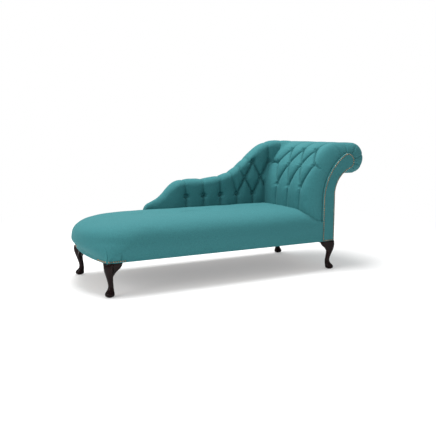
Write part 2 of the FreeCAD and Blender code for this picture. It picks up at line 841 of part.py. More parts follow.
def back_section(x, kind):
    """One upright section of the back pad. Each kind sets where the creases and buttons lie."""
    top = back_top(x)
    face = back_face(x)
    low = back_pad_bottom
    room = top - low
    roll = min(back_roll, 0.45 * room)
    frame_top = top - min(back_top_padding, 0.5 * room)
    high = top - roll
    r1, r2 = back_rows
    r3 = back_high_row()
    half = dimple_width / 2
    deep = back_dimple_depth
    crease = back_crease_depth
    plain = [lerp(low, high, s) for s in (0.3, 0.45, 0.6, 0.75)]
    forms = {
        "plain": (plain, (0, 0, 0, 0), (0, 0, 0, 0, 0), (0, 0)),
        "pillow": ((r1 - half, r1 + half, r1 + 25, r1 + 40), (0, 0, 0, 0), (0, 0, 0, 0, 0), (2, 0)),
        "pleat": ((r1 - half, r1 + half, r1 + 25, r1 + 40), (deep, deep, crease, crease),
                  (crease, deep, crease, crease, crease), (crease * 0.6, crease * 0.6)),
        "row_two": ((r2 - 55, r2 - half, r2 + half, r2 + 30), (4, deep, deep, crease),
                    (0, 10, deep, crease, crease), (2, crease * 0.6)),
        "row_two_high": ((r2 - 55, r2 - half, r2 + half, r2 + 45), (4, deep, deep, 4),
                         (0, 10, deep, 10, 0), (2, 0)),
        "rows_one_three": ((r1 - half, r1 + half, r3 - half, r3 + half), (deep, deep, deep, deep),
                           (crease, deep, 0, deep, crease), (crease * 0.6, crease * 0.6)),
    }
    levels, depths, middles, ends = forms[kind]
    nodes = [(face + ends[0], low)]
    nodes += [(face + d, z) for z, d in zip(levels, depths)]
    nodes.append((face + ends[1], high))
    back = back_frame_inner - fit
    dip = 0.5 * ends[1]
    edges = []
    for k in range(5):
        (y0, z0), (y1, z1) = nodes[k], nodes[k + 1]
        depth = face + middles[k]
        m = vec(x, depth, (z0 + z1) / 2)
        edges += facet_arc(vec(x, y0, z0), m, vec(x, y1, z1), back_facets[k])
    y1, z1 = nodes[-1]
    over = vec(x, rail_outer, frame_top)
    mid = vec(x, lerp(y1, rail_outer, 0.4), top - dip)
    edges += facet_arc(vec(x, y1, z1), mid, over, back_facets[5])
    inner_top = vec(x, back, frame_top)
    inner_low = vec(x, back, low)
    return corners_of(edges) + [over, inner_top, inner_low]


def back_pad_form():
    stations = [(back_start, "plain"), (back_start + 6, "plain"), (back_first_rise[0], "plain")]
    first = back_button_first
    pitch = back_button_pitch
    for step in (72.0, 117.0, 162.0, 212.0):
        stations.append((back_start + step, "plain"))
    for k in range(3):
        stations.append((first + pitch * k, "pleat"))
        stations.append((first + pitch * (k + 0.25), "pillow"))
        stations.append((first + pitch * (k + 0.75), "pillow"))
    stations += [
        (first + pitch * 3, "pleat"),
        (first + pitch * 3.5, "row_two"),
        (first + pitch * 4, "rows_one_three"),
        (first + pitch * 4.5, "row_two_high"),
        (first + pitch * 5, "rows_one_three"),
        (first + pitch * 5.3, "plain"),
        (back_pad_end, "plain"),
    ]
    return net([back_section(x, kind) for x, kind in stations])


def back_zone(clearance):
    """The room that the foot of the back rest takes in the seat."""
    z0 = back_pad_bottom - clearance
    z1 = seat_height + 30.0
    slope_end = back_face_taper[1] - 60.0
    outline = [
        vec(back_start - clearance - 1.0, overall_depth, z0),
        vec(back_start - clearance - 1.0, back_face_foot - clearance - 1.0, z0),
        vec(slope_end, back_face_head - clearance, z0),
        vec(scroll_in, back_face_head - clearance, z0),
        vec(scroll_in, overall_depth, z0),
    ]
    pad_room = prism(Part.makePolygon(outline + [outline[0]]), vec(0, 0, z1 - z0))
    return pad_room.fuse(back_frame_room(clearance))


def back_pad():
    inner = back_frame_inner - webbing_thickness - hessian_thickness - back_foam - 2 * fit
    foam_room = under_back(back_roll + 6, back_pad_bottom - 5, inner, rail_outer,
                           foam_start() - fit, back_pad_end)
    frame_room = under_back(back_top_padding - 1.5, back_pad_bottom - 5, back_frame_inner - 4.0, rail_outer + 5,
                            back_first_rise[0] - fit, back_pad_end + 5)
    pad = back_pad_form().cut(foam_room).cut(frame_room).cut(scroll_side(fit))
    return pad.cut(button_rooms(back_button_places()))


def foam_start():
    return back_face_taper[1] - 75.0


def back_foam_layer():
    y1 = back_frame_inner - webbing_thickness - hessian_thickness - fit
    layer = under_back(back_roll + 8, back_pad_bottom, y1 - back_foam, y1, foam_start(), back_pad_end)
    return layer.cut(scroll_side(fit))


def back_hessian():
    y1 = back_frame_inner - webbing_thickness
    sheet = under_back(back_top_padding + 8, back_pad_bottom, y1 - hessian_thickness, y1,
                       back_first_rise[0] + 20, back_pad_end)
    return sheet.cut(scroll_side(fit))


def back_rail():
    """Serpentine top rail of the back frame, sawn from thick board."""
    x0 = back_first_rise[0]
    whole = under_back(back_top_padding, rail_top, back_frame_inner, rail_outer, x0, scroll_in - fit)
    below = under_back(back_top_padding + back_top_rail, rail_top - 5, back_frame_inner - 5, rail_outer + 5,
                       x0 + back_nose_post, scroll_in + scroll_rail)
    nose = box(x0 - 5, x0 + back_nose_post, back_frame_inner - 5, rail_outer + 5, rail_top - 5, rail_top)
    return whole.cut(below).cut(nose).cut(scroll_side(fit))


def upright_places():
    x0 = back_first_rise[0] + back_nose_post
    x1 = face_x - fit - back_upright
    return [lerp(x0, x1, k / 4) for k in range(5)]


def back_uprights():
    below = under_back(back_top_padding + back_top_rail, rail_top, back_frame_inner, rail_outer,
                       back_first_rise[0] + back_nose_post, scroll_in + scroll_rail)
    shapes = []
    for x in upright_places():
        post = box(x, x + back_upright, back_frame_inner, rail_outer, rail_top, overall_length)
        shapes.append(post.common(below))
    return group(shapes)


def back_tack_rails():
    """Short rails between the uprights, just above the seat, that hold the foot of the covers."""
    xs = upright_places()
    shapes = []
    for a, b in zip(xs, xs[1:]):
        shapes.append(box(a + back_upright, b, back_frame_inner, rail_outer, back_pad_bottom, back_tack_top))
    return group(shapes)


def back_webbing():
    """Upright straps on the face of the back frame."""
    y1 = back_frame_inner
    region = under_back(back_top_padding + 14, back_pad_bottom + 2, y1 - webbing_thickness, y1,
                        back_first_rise[0] + 60, back_pad_end)
    region = region.cut(scroll_side(fit))
    shapes = []
    x = back_first_rise[0] + 64.0
    while x + webbing_width < face_x:
        strap = box(x, x + webbing_width, y1 - 10, y1, back_pad_bottom, overall_length)
        shapes.append(strap.common(region))
        x += webbing_pitch
    return group(shapes)


def back_outside_panel():
    """Plain cover of the back, from under the rolled top to the foot of the frame."""
    y0 = rail_outer + fit
    return under_back(back_top_padding + 2, leg_height + 1.0, y0, y0 + outside_panel, back_start + 4,
                      scroll_in - fit)


# Scroll frame and covers


def scroll_board_front():
    return prism(scroll_outline(0.0, leg_height, -board_outer), vec(0, scroll_board, 0))


def facing_front():
    """Covered panel nailed over the end of the scroll, with a soft edge."""
    panel = prism(scroll_outline(0.0, leg_height, -facing_outer), vec(0, facing_thickness, 0))
    rim = [e for e in panel.Edges if abs(e.CenterOfMass.y + facing_outer) < 0.01]
    return panel.makeChamfer(facing_edge, rim)


def bulb_rail(x0, x1, z0, z1):
    """A rail between the boards that follows the bulb where it meets it."""
    disc = Part.makeCylinder(bulb_radius, 2 * board_inner, vec(bulb_x, -board_inner, bulb_height), vec(0, 1, 0))
    return box(x0, x1, -board_inner, board_inner, z0, z1).common(disc)


def scroll_crest_rail():
    top = bulb_height + bulb_radius
    return bulb_rail(bulb_x - scroll_rail, bulb_x + scroll_rail, top - 30, top + 5)


def scroll_nose_rail():
    half = scroll_rail
    x1 = bulb_x + bulb_radius
    return bulb_rail(x1 - 26, x1 + 5, bulb_height - half, bulb_height + half - 8)


def scroll_neck_rail():
    """Tacking rail under the roll, where the outside cover ends."""
    p = on_circle(neck_x, neck_z, neck_radius, 36.0)
    block = box(p.x - 40, p.x + 40, -board_inner, board_inner, p.z - 20, p.z + 22)
    whole = prism(scroll_outline(0.0, leg_height, -board_inner), vec(0, 2 * board_inner, 0))
    core = prism(scroll_outline(-scroll_rail, leg_height, -board_inner - 1), vec(0, 2 * board_inner + 2, 0))
    near = box(p.x - 12, p.x + 60, -board_inner, board_inner, 0, 900)
    return block.common(whole).cut(core).common(near)


def scroll_tack_rail():
    return box(scroll_in, scroll_in + scroll_rail, -board_inner, board_inner, tack_rail_bottom, tack_rail_top)


def scroll_webbing():
    """Straps from the tacking rail up the hollow and over the crest rail."""
    pitch = 2 * board_inner / scroll_webs
    shapes = []
    for k in range(scroll_webs):
        y = -board_inner + pitch * (k + 0.5) - webbing_width / 2
        shapes.append(scroll_band(0.0, webbing_thickness, tack_rail_bottom, y, y + webbing_width, "crest"))
    return group(shapes)


def scroll_hessian():
    return scroll_band(webbing_thickness, webbing_thickness + hessian_thickness, tack_rail_bottom,
                       -board_inner, board_inner, "bulb")


def scroll_foam_layer():
    inner = webbing_thickness + hessian_thickness
    return scroll_band(inner, inner + scroll_foam, scroll_pad_bottom + 2.0, -board_inner, board_inner, "bulb")


def scroll_outside_panel():
    """Covered panel down the outside, from under the roll to the foot of the frame."""
    edges = []
    ends = []
    for radius in (neck_radius, neck_radius - outside_panel):
        a = vec(neck_x - radius, -board_outer, leg_height)
        b = on_circle(neck_x, neck_z, radius, 0, -board_outer)
        m = on_circle(neck_x, neck_z, radius, neck_end_turn / 2, -board_outer)
        c = on_circle(neck_x, neck_z, radius, neck_end_turn, -board_outer)
        edges += [line(a, b), arc(b, m, c)]
        ends.append((a, c))
    edges += [line(ends[0][0], ends[1][0]), line(ends[0][1], ends[1][1])]
    return prism(closed(edges), vec(0, 2 * board_outer, 0))


# Buttons and nails


def turned_to(shape, place, direction):
    """Moves a shape made on +Z so that it stands at a place, along a direction."""
    copy = shape.copy()
    copy.Placement = FreeCAD.Placement(place, FreeCAD.Rotation(vec(0, 0, 1), direction))
    return copy


def button():
    """Covered button: a low dome on a shank that the tufting twine pulls down."""
    z = button_lift
    profile = (
        (button_shank_radius, fit),
        (button_shank_radius, z),
        (0.9 * button_radius, z),
        (button_radius, z + 1.2),
        (0.72 * button_radius, z + 0.75 * button_rise),
        (0.3 * button_radius, z + button_rise),
    )
    return net([ring(0, 0, height, radius, button_sides) for radius, height in profile])


def scroll_button_places():
    """Foot of each button of the scroll end, and the way it faces."""
    places = []
    for row, turn in enumerate(scroll_button_turns):
        base = scroll_base_point(turn)
        crown = crown_point(turn)
        up = crown.sub(base).normalize()
        seat = crown.sub(vec(up.x * dimple_depth, 0, up.z * dimple_depth))
        count = 4 if row == 1 else 3
        for k in range(count):
            y = scroll_button_middle + scroll_button_pitch * (k - (count - 1) / 2)
            places.append((seat.add(vec(0, y, 0)), up))
    return places


def back_button_places():
    """Foot of each button of the back rest, and the way it faces."""
    low, mid = back_rows
    high = back_high_row()
    spots = [(k, low) for k in range(5)]
    spots += [(3.5, mid), (4.5, mid), (4, high), (5, high)]
    places = []
    for k, z in spots:
        x = back_button_first + back_button_pitch * k
        places.append((vec(x, back_face(x) + back_dimple_depth, z), vec(0, -1, 0)))
    return places


def button_rooms(places):
    room = rod(0, 0, 0, 2 * dimple_depth, button_radius + 1.0, button_sides)
    return group([turned_to(room, place, direction) for place, direction in places])


def buttons(places):
    return group([turned_to(button(), place, direction) for place, direction in places])


def nail():
    """Round-headed upholstery nail."""
    return net([ring(0, 0, 0, nail_radius, nail_sides), ring(0, 0, nail_rise, nail_radius * 0.5, nail_sides)])


def nail_row(path, direction, pitch):
    """Nails at even steps along a path, closed or open."""
    is_closed = path.isClosed()
    count = max(2, round(path.Length / pitch) + 1)
    points = path.discretize(Number=count)
    if is_closed:
        points = points[:-1]
    return [turned_to(nail(), p, direction) for p in points]


def facing_nails_front():
    path = scroll_outline(-nail_inset, leg_height + nail_inset, -facing_outer)
    return group(nail_row(path, vec(0, -1, 0), nail_pitch))


def foot_corner_nails():
    """Short rows each way round the two foot-end corners, just above the bottom edge."""
    z = leg_height + corner_nail_height
    x0 = foot_x + base_corner_radius
    chord = base_half - base_corner_radius
    end_radius = (chord**2 + foot_bow**2) / (2 * foot_bow)
    centre = foot_x - foot_bow + end_radius
    shapes = []
    for side in (-1, 1):
        for k in range(corner_nails):
            place = vec(x0 + nail_pitch * k, side * base_half, z)
            shapes.append(turned_to(nail(), place, vec(0, side, 0)))
        start = math.asin((base_half - base_corner_radius) / end_radius)
        for k in range(corner_nails):
            a = start - k * nail_pitch / end_radius
            out = vec(-math.cos(a), side * math.sin(a), 0)
            place = vec(centre + out.x * end_radius, out.y * end_radius, z)
            shapes.append(turned_to(nail(), place, out))
    return group(shapes)


def single(shape):
    """One clean solid where a form should be one piece."""
    solids = sorted(shape.Solids, key=lambda s: s.Volume)
    return solids[-1]


def main():
    parts = {
        "front_seat_rail": side_rail(-1),
        "back_seat_rail": side_rail(1),
        "foot_end_rail": foot_rail(),
        "head_end_rail": head_rail(),
        "seat_cross_rails": cross_rails(),
        "corner_blocks": corner_blocks(),
        "dust_cover": dust_cover(),
        "leg_bolts": on_each_bolt(leg_bolt),
        "leg_washers": on_each_bolt(leg_washer),
        "leg_nuts": on_each_bolt(leg_nut),
        "floor_glides": glides(),
        "seat_webbing": group(seat_webbing()),
        "seat_hessian": seat_hessian(),
        "seat_foam": seat_foam(),
        "seat_cover": single(seat_cover()),
        "scroll_front_board": scroll_board_front(),
        "scroll_rear_board": mirrored_in_y(scroll_board_front()),
        "scroll_front_facing": facing_front(),
        "scroll_rear_facing": mirrored_in_y(facing_front()),
        "front_facing_nails": facing_nails_front(),
        "rear_facing_nails": mirrored_in_y(facing_nails_front()),
        "foot_corner_nails": foot_corner_nails(),
        "scroll_crest_rail": scroll_crest_rail(),
        "scroll_nose_rail": scroll_nose_rail(),
        "scroll_neck_rail": scroll_neck_rail(),
        "scroll_tack_rail": scroll_tack_rail(),
        "scroll_webbing": scroll_webbing(),
        "scroll_hessian": scroll_hessian(),
        "scroll_foam": scroll_foam_layer(),
        "scroll_buttoned_pad": single(scroll_pad()),
        "scroll_buttons": buttons(scroll_button_places()),
        "scroll_outside_panel": scroll_outside_panel(),
        "back_top_rail": back_rail(),
        "back_uprights": back_uprights(),
        "back_tack_rails": back_tack_rails(),
        "back_webbing": back_webbing(),
        "back_hessian": back_hessian(),
        "back_foam": back_foam_layer(),
        "back_buttoned_pad": single(back_pad()),
        "back_buttons": buttons(back_button_places()),
        "back_outside_panel": back_outside_panel(),
    }
    for name, corner in leg_corners().items():
        parts[name + "_leg"] = leg(corner)
    os.makedirs("parts", exist_ok=True)
    for name, shape in parts.items():
        solids = shape.Solids
        good = all(s.isValid() for s in solids)
        print(name, len(solids), "solids", round(shape.Volume / 1000, 1), "cm3", "" if good else "NOT VALID")
        shape.exportStep(os.path.join("parts", name + ".step"))


if __name__ == "__main__":
    main()
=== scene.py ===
import math

import bpy
import numpy as np
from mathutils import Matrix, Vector


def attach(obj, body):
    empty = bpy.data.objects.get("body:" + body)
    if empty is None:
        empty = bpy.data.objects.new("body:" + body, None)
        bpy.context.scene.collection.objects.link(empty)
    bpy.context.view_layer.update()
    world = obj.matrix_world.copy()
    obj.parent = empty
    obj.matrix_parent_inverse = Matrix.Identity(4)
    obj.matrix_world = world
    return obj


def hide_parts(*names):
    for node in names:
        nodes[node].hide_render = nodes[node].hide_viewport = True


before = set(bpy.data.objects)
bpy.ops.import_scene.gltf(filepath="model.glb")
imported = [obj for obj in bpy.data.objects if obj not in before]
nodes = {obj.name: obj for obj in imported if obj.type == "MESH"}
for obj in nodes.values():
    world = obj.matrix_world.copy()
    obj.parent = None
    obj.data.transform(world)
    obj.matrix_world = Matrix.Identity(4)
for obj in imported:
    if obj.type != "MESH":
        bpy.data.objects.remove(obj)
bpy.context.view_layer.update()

# Chaise longue with a buttoned scroll end and half back. Sizes are in mm and turns in degrees, in the
# frame's axes: +X runs to the scroll end, -Y is the open front and +Z is up.
MM = 0.001
rng = np.random.default_rng(7)

# Base and frame
LEG_HEIGHT = 180.0
SEAT_HEIGHT = 386.0
FOOT_X = -805.0
HEAD_X = 665.0
BASE_HALF = 310.0
BASE_CORNER = 14.0
FOOT_BOW = 32.0
FOOT_CHORD = BASE_HALF - BASE_CORNER
FOOT_BOW_R = (FOOT_CHORD**2 + FOOT_BOW**2) / (2 * FOOT_BOW)
SCROLL_IN = 574.0
BOARD_OUTER = 299.0
PANEL_OUTER = 304.8
FIT = 0.3


def lerp(a, b, t):
    return a + (b - a) * t


def ease(t):
    t = np.clip(t, 0.0, 1.0)
    return (1 - np.cos(np.pi * t)) / 2


# Materials


def linear(code):
    """An sRGB hex colour as linear red, green, blue and alpha."""
    values = [int(code[i : i + 2], 16) / 255 for i in (1, 3, 5)]
    return [v / 12.92 if v <= 0.04045 else ((v + 0.055) / 1.055) ** 2.4 for v in values] + [1.0]


WHITE = linear("#ffffff")


def add_node(tree, kind, links=(), **values):
    """Adds a node with its settings, its inputs' values and the links into it."""
    node = tree.nodes.new(kind)
    for key, value in values.items():
        if key in node.inputs.keys():
            node.inputs[key].default_value = value
        else:
            setattr(node, key, value)
    for source, target in links:
        tree.links.new(source, node.inputs[target])
    return node


class Shader:
    """A material with its Principled shader."""

    def __init__(self, name, colour, roughness, **inputs):
        self.material = bpy.data.materials.new(name)
        self.material.use_nodes = True
        self.tree = self.material.node_tree
        self.main = self.tree.nodes["Principled BSDF"]
        self.main.inputs["Base Color"].default_value = linear(colour)
        self.main.inputs["Roughness"].default_value = roughness
        for key, value in inputs.items():
            self.main.inputs[key.replace("_", " ")].default_value = value
        self.material.diffuse_color = linear(colour)

    def add(self, kind, links=(), **values):
        return add_node(self.tree, kind, links, **values)

    def plug(self, source, target):
        self.tree.links.new(source, self.main.inputs[target])

    def two_tone(self, pattern, dark, light, low, high):
        """Base colour that goes from one shade to another with a pattern."""
        ramp = self.add("ShaderNodeValToRGB", [(pattern, "Fac")])
        for element, position, colour in zip(ramp.color_ramp.elements, (low, high), (dark, light)):
            element.position = position
            element.color = linear(colour)
        self.plug(ramp.outputs["Color"], "Base Color")

    def relief(self, height, strength, depth_mm):
        bump = self.add("ShaderNodeBump", [(height, "Height")], Strength=strength, Distance=depth_mm * MM)
        self.plug(bump.outputs["Normal"], "Normal")


def mottle(shader, dark, light, size_mm, detail=4.0, low=0.35, high=0.65):
    """Base colour that drifts between two shades."""
    place = shader.add("ShaderNodeTexCoord").outputs["Object"]
    noise = shader.add("ShaderNodeTexNoise", [(place, "Vector")], Scale=1 / (size_mm * MM), Detail=detail)
    shader.two_tone(noise.outputs["Fac"], dark, light, low, high)


NAP_MM = 10 / 9


def cloth_material(name, dark, light, thread_mm, height_mm, sheen_tint="#ffffff", axes=None):
    """Woven cloth: threads along the piece's own UV map, or along two axes on a flat panel, with a nap.

    Two crossed waves stand for the over and under of a plain weave.
    """
    shader = Shader(name, light, 0.86, Sheen_Weight=0.1, Sheen_Roughness=0.45, Specular_IOR_Level=0.22)
    shader.main.inputs["Sheen Tint"].default_value = linear(sheen_tint)
    mottle(shader, dark, light, 5.0, 6.0, 0.3, 0.7)
    place = shader.add("ShaderNodeTexCoord").outputs["Object"]
    lengths = place if axes else shader.add("ShaderNodeUVMap", uv_map="cloth").outputs["UV"]
    parts = shader.add("ShaderNodeSeparateXYZ", [(lengths, "Vector")])
    waves = []
    for axis in axes or "XY":
        turns = shader.add("ShaderNodeMath", [(parts.outputs[axis], 0)], operation="MULTIPLY")
        turns.inputs[1].default_value = math.pi / (thread_mm * MM)
        waves.append(shader.add("ShaderNodeMath", [(turns.outputs[0], 0)], operation="SINE").outputs[0])
    weave = shader.add("ShaderNodeMath", [(waves[0], 0), (waves[1], 1)], operation="MULTIPLY")
    nap = shader.add("ShaderNodeTexNoise", [(place, "Vector")], Scale=1 / (NAP_MM * MM), Detail=3.0)
    both = shader.add("ShaderNodeMath", [(weave.outputs[0], 0), (nap.outputs["Fac"], 1)], operation="ADD")
    shader.relief(both.outputs[0], 0.55, height_mm)
    return shader.material


def wood_material(name, dark, light, roughness, coat, grain_mm):
    """Wood with its grain drawn out upwards, and a coat of varnish where it has one."""
    shader = Shader(name, light, roughness, Coat_Weight=coat, Coat_Roughness=0.12, Specular_IOR_Level=0.1)
    place = shader.add("ShaderNodeTexCoord").outputs["Object"]
    stretch = shader.add("ShaderNodeMapping", [(place, "Vector")], Scale=(1.0, 1.0, 0.12))
    grain = shader.add(
        "ShaderNodeTexNoise",
        [(stretch.outputs["Vector"], "Vector")],
        Scale=1 / (grain_mm * MM),
        Detail=8.0,
        Distortion=0.6,
    ).outputs["Fac"]
    shader.two_tone(grain, dark, light, 0.35, 0.7)
    shader.relief(grain, 0.15, 0.2)
    return shader.material


def metal_material(name, dark, light, roughness):
    shader = Shader(name, light, roughness, Metallic=1.0)
    mottle(shader, dark, light, 6.0, 3.0)
    return shader.material


def plain_material(name, dark, light, roughness, size_mm=8.0):
    shader = Shader(name, light, roughness)
    mottle(shader, dark, light, size_mm)
    return shader.material


# Upholstery cloth, woven and lightly brushed: flat, even teal with a faint pale sheen where it turns away.
# Its threads, about 0.5 mm, are too fine to show from here, so they are drawn 1.3 mm wide. The outside
# panels are plain solids with no UV map, so their threads follow the two axes of the panel.
TEAL = {"dark": "#2d666a", "light": "#357478", "thread_mm": 1.3, "height_mm": 0.22, "sheen_tint": "#7fc4c8"}
teal = cloth_material("teal_woven_upholstery_cloth", **TEAL)
teal_back = cloth_material("teal_woven_upholstery_cloth_back_panel", **TEAL, axes="XZ")
teal_end = cloth_material("teal_woven_upholstery_cloth_end_panel", **TEAL, axes="YZ")
# Hessian, a loose jute weave: dry, brown, with threads that can be counted.
hessian = cloth_material("hessian", "#97805a", "#ad9468", 2.2, 0.5, axes="XZ")
# Webbing, a thick close jute weave: darker than the hessian and as rough.
webbing = cloth_material("jute_webbing", "#7c6338", "#937748", 2.6, 0.5, axes="XZ")
# Dust cover, thin black lining: a dull dark sheet under the seat.
lining = cloth_material("black_lining_cloth", "#111214", "#1a1b1d", 1.0, 0.1, axes="XY")
# Mahogany, stained nearly black and polished: very dark red-brown with soft highlights on the curves.
mahogany = wood_material("dark_polished_mahogany", "#0a0101", "#190504", 0.24, 0.05, 9.0)
# Beech, sawn and left bare: pale, dry, with an open straight grain.
beech = wood_material("sawn_beech", "#a98252", "#c7a273", 0.65, 0.0, 12.0)
# Brass nail heads, pressed and antiqued: warm dull gold with brown in the hollows.
brass = metal_material("antique_brass", "#5e4636", "#b39274", 0.3)
# Steel fittings, zinc plated: light grey with a soft shine.
steel = metal_material("zinc_plated_steel", "#8d9094", "#b9bcc0", 0.35)
# Nylon glides, moulded: near black, half matt.
nylon = plain_material("moulded_nylon", "#17130f", "#241e19", 0.5)
# Polyurethane foam, cut: pale yellow and quite matt.
foam = plain_material("polyurethane_foam", "#d3c690", "#e2d8aa", 0.95, 3.0)

FINISHES = (
    (beech, "front_seat_rail", "back_seat_rail", "foot_end_rail", "head_end_rail", "seat_cross_rails"),
    (beech, "corner_blocks", "scroll_front_board", "scroll_rear_board", "scroll_crest_rail"),
    (beech, "scroll_nose_rail", "scroll_neck_rail", "scroll_tack_rail", "back_top_rail"),
    (beech, "back_uprights", "back_tack_rails"),
    (steel, "leg_bolts", "leg_washers", "leg_nuts"),
    (nylon, "floor_glides"),
    (webbing, "seat_webbing", "scroll_webbing", "back_webbing"),
    (hessian, "seat_hessian", "scroll_hessian", "back_hessian"),
    (foam, "seat_foam", "scroll_foam", "back_foam"),
    (lining, "dust_cover"),
    (teal_end, "scroll_outside_panel"),
    (teal_back, "back_outside_panel"),
)
for material, *node_names in FINISHES:
    for node_name in node_names:
        mesh = nodes[node_name].data
        mesh.materials.clear()
        mesh.materials.append(material)


# Meshes and lines


def new_object(name, data):
    obj = bpy.data.objects.new(name, data)
    bpy.context.scene.collection.objects.link(obj)
    return obj


def mesh_object(name, verts, faces, material, smooth=True):
    mesh = bpy.data.meshes.new(name)
    mesh.from_pydata([tuple(v) for v in verts], [], faces)
    mesh.materials.append(material)
    if smooth:
        mesh.shade_smooth()
    return new_object(name, mesh)


def made_plain(obj):
    """The mesh that an object's modifiers give. The object itself is removed."""
    graph = bpy.context.evaluated_depsgraph_get()
    mesh = bpy.data.meshes.new_from_object(obj.evaluated_get(graph))
    bpy.data.objects.remove(obj)
    return mesh


def tube_faces(rows, cols):
    """Faces over rings of points, with both ends capped."""
    faces = []
    for i in range(rows - 1):
        for j in range(cols):
            k = (j + 1) % cols
            faces.append((i * cols + j, i * cols + k, (i + 1) * cols + k, (i + 1) * cols + j))
    faces.append(tuple(reversed(range(cols))))
    faces.append(tuple((rows - 1) * cols + j for j in range(cols)))
    return faces


def skin(name, grid, lengths, material):
    """A closed mesh over rings of points in mm, with the cloth's own lengths in mm as its UV map."""
    obj = mesh_object(name, grid.reshape(-1, 3) * MM, tube_faces(*grid.shape[:2]), material)
    layer = obj.data.uv_layers.new(name="cloth")
    flat = lengths.reshape(-1, 2) * MM
    index = np.zeros(len(obj.data.loops), int)
    obj.data.loops.foreach_get("vertex_index", index)
    layer.data.foreach_set("uv", flat[index].ravel())
    return obj


def running_length(points):
    """Length along a line up to each of its points."""
    return np.concatenate([[0], np.cumsum(np.linalg.norm(np.diff(points, axis=0), axis=1))])


def even(points, step=None, count=None, closed=False):
    """The same line with points at even steps, and the length at each. A count may stand for the step."""
    points = np.asarray(points, float)
    if closed:
        points = np.concatenate([points, points[:1]])
    run = running_length(points)
    count = count or max(2, round(run[-1] / step))
    at = np.linspace(0, run[-1], count + 1)
    result = np.stack([np.interp(at, run, points[:, k]) for k in range(points.shape[1])], axis=1)
    return (result[:-1] if closed else result), at


def drift(a, b, size, amount, waves=14):
    """Slow unevenness over two lengths, as a sum of a few waves of about one size."""
    total = np.zeros(np.broadcast(a, b).shape)
    for _ in range(waves):
        angle = rng.uniform(0, 2 * math.pi)
        length = size * rng.uniform(0.6, 1.8)
        phase = rng.uniform(0, 2 * math.pi)
        total += np.sin((a * math.cos(angle) + b * math.sin(angle)) * 2 * math.pi / length + phase)
    return amount * total / math.sqrt(waves)


def blurred(field, passes=1):
    """The field with each value evened out with its neighbours, rows first."""
    for _ in range(passes):
        for axis in (0, 1):
            before = np.roll(field, 1, axis)
            after = np.roll(field, -1, axis)
            if axis == 0:
                before[0], after[-1] = field[0], field[-1]
            else:
                before[:, 0], after[:, -1] = field[:, 0], field[:, -1]
            field = 0.25 * before + 0.5 * field + 0.25 * after
    return field


def with_back(field, columns):
    """A field over a pad's face, carried on over the hidden columns that close it."""
    return np.pad(field, ((0, 0), (0, columns)), "edge")


# Buttoning

STITCH_WIDTH = 4.2
PUCKER_LENGTH, PUCKER_WIDTH = 19.0, 13.0
BUTTON_WELL = 12.5 * 1.45
BUTTON_RAYS, RAY_RADIUS, RAY_WIDTH = 9, 18.0, 11.0


class Tufts:
    """Creases and buttons over a pad, in the two lengths of its cloth, and how deep they pull it."""

    def __init__(self, a, b):
        self.a = a
        self.b = b
        self.pull = np.zeros(a.shape)
        self.groove = np.zeros(a.shape)
        self.pucker = np.zeros(a.shape)

    def crease(self, start, end, depth_start, depth_end, width, upper=0.72):
        """A fold between two points. The cloth above it stands fuller and steeper than that below."""
        da, db = end[0] - start[0], end[1] - start[1]
        length = math.hypot(da, db)
        t = np.clip(((self.a - start[0]) * da + (self.b - start[1]) * db) / length**2, 0, 1)
        pa = self.a - start[0] - t * da
        pb = self.b - start[1] - t * db
        distance = np.hypot(pa, pb)
        side = np.where(pa > 0, upper, 1.0 + 0.3 * (1 - upper))
        x = np.minimum(distance / (width * side), 1.0)
        shape = 1 - np.sqrt(np.maximum(1 - (1 - x) ** 2, 0))
        depth = lerp(depth_start, depth_end, ease(t))
        self.pull = np.maximum(self.pull, depth * (0.82 * shape + 0.18 * (1 - x) ** 2))
        self.groove = np.maximum(self.groove, 0.5 * depth * np.exp(-((distance / STITCH_WIDTH) ** 2)))
        ripple = np.sin(t * length * 2 * math.pi / PUCKER_LENGTH + start[0] + 1.7 * start[1])
        self.pucker += 0.35 * depth / 16 * ripple * np.exp(-((distance / PUCKER_WIDTH) ** 2))

    def button(self, place, depth):
        """A round well, with short rays of pucker about it."""
        da, db = self.a - place[0], self.b - place[1]
        distance = np.hypot(da, db)
        well = depth * np.exp(-((distance / BUTTON_WELL) ** 2.2))
        self.pull = np.maximum(self.pull, well)
        rays = np.cos(BUTTON_RAYS * np.arctan2(da, db) + place[1])
        self.pucker += 0.9 * rays * np.exp(-(((distance - RAY_RADIUS) / RAY_WIDTH) ** 2))

    def depth(self):
        return blurred(self.pull, 2) + blurred(self.groove, 1) + self.pucker


SETTLE_FRAMES = 9
STUFFING_PRESSURE = 5.0


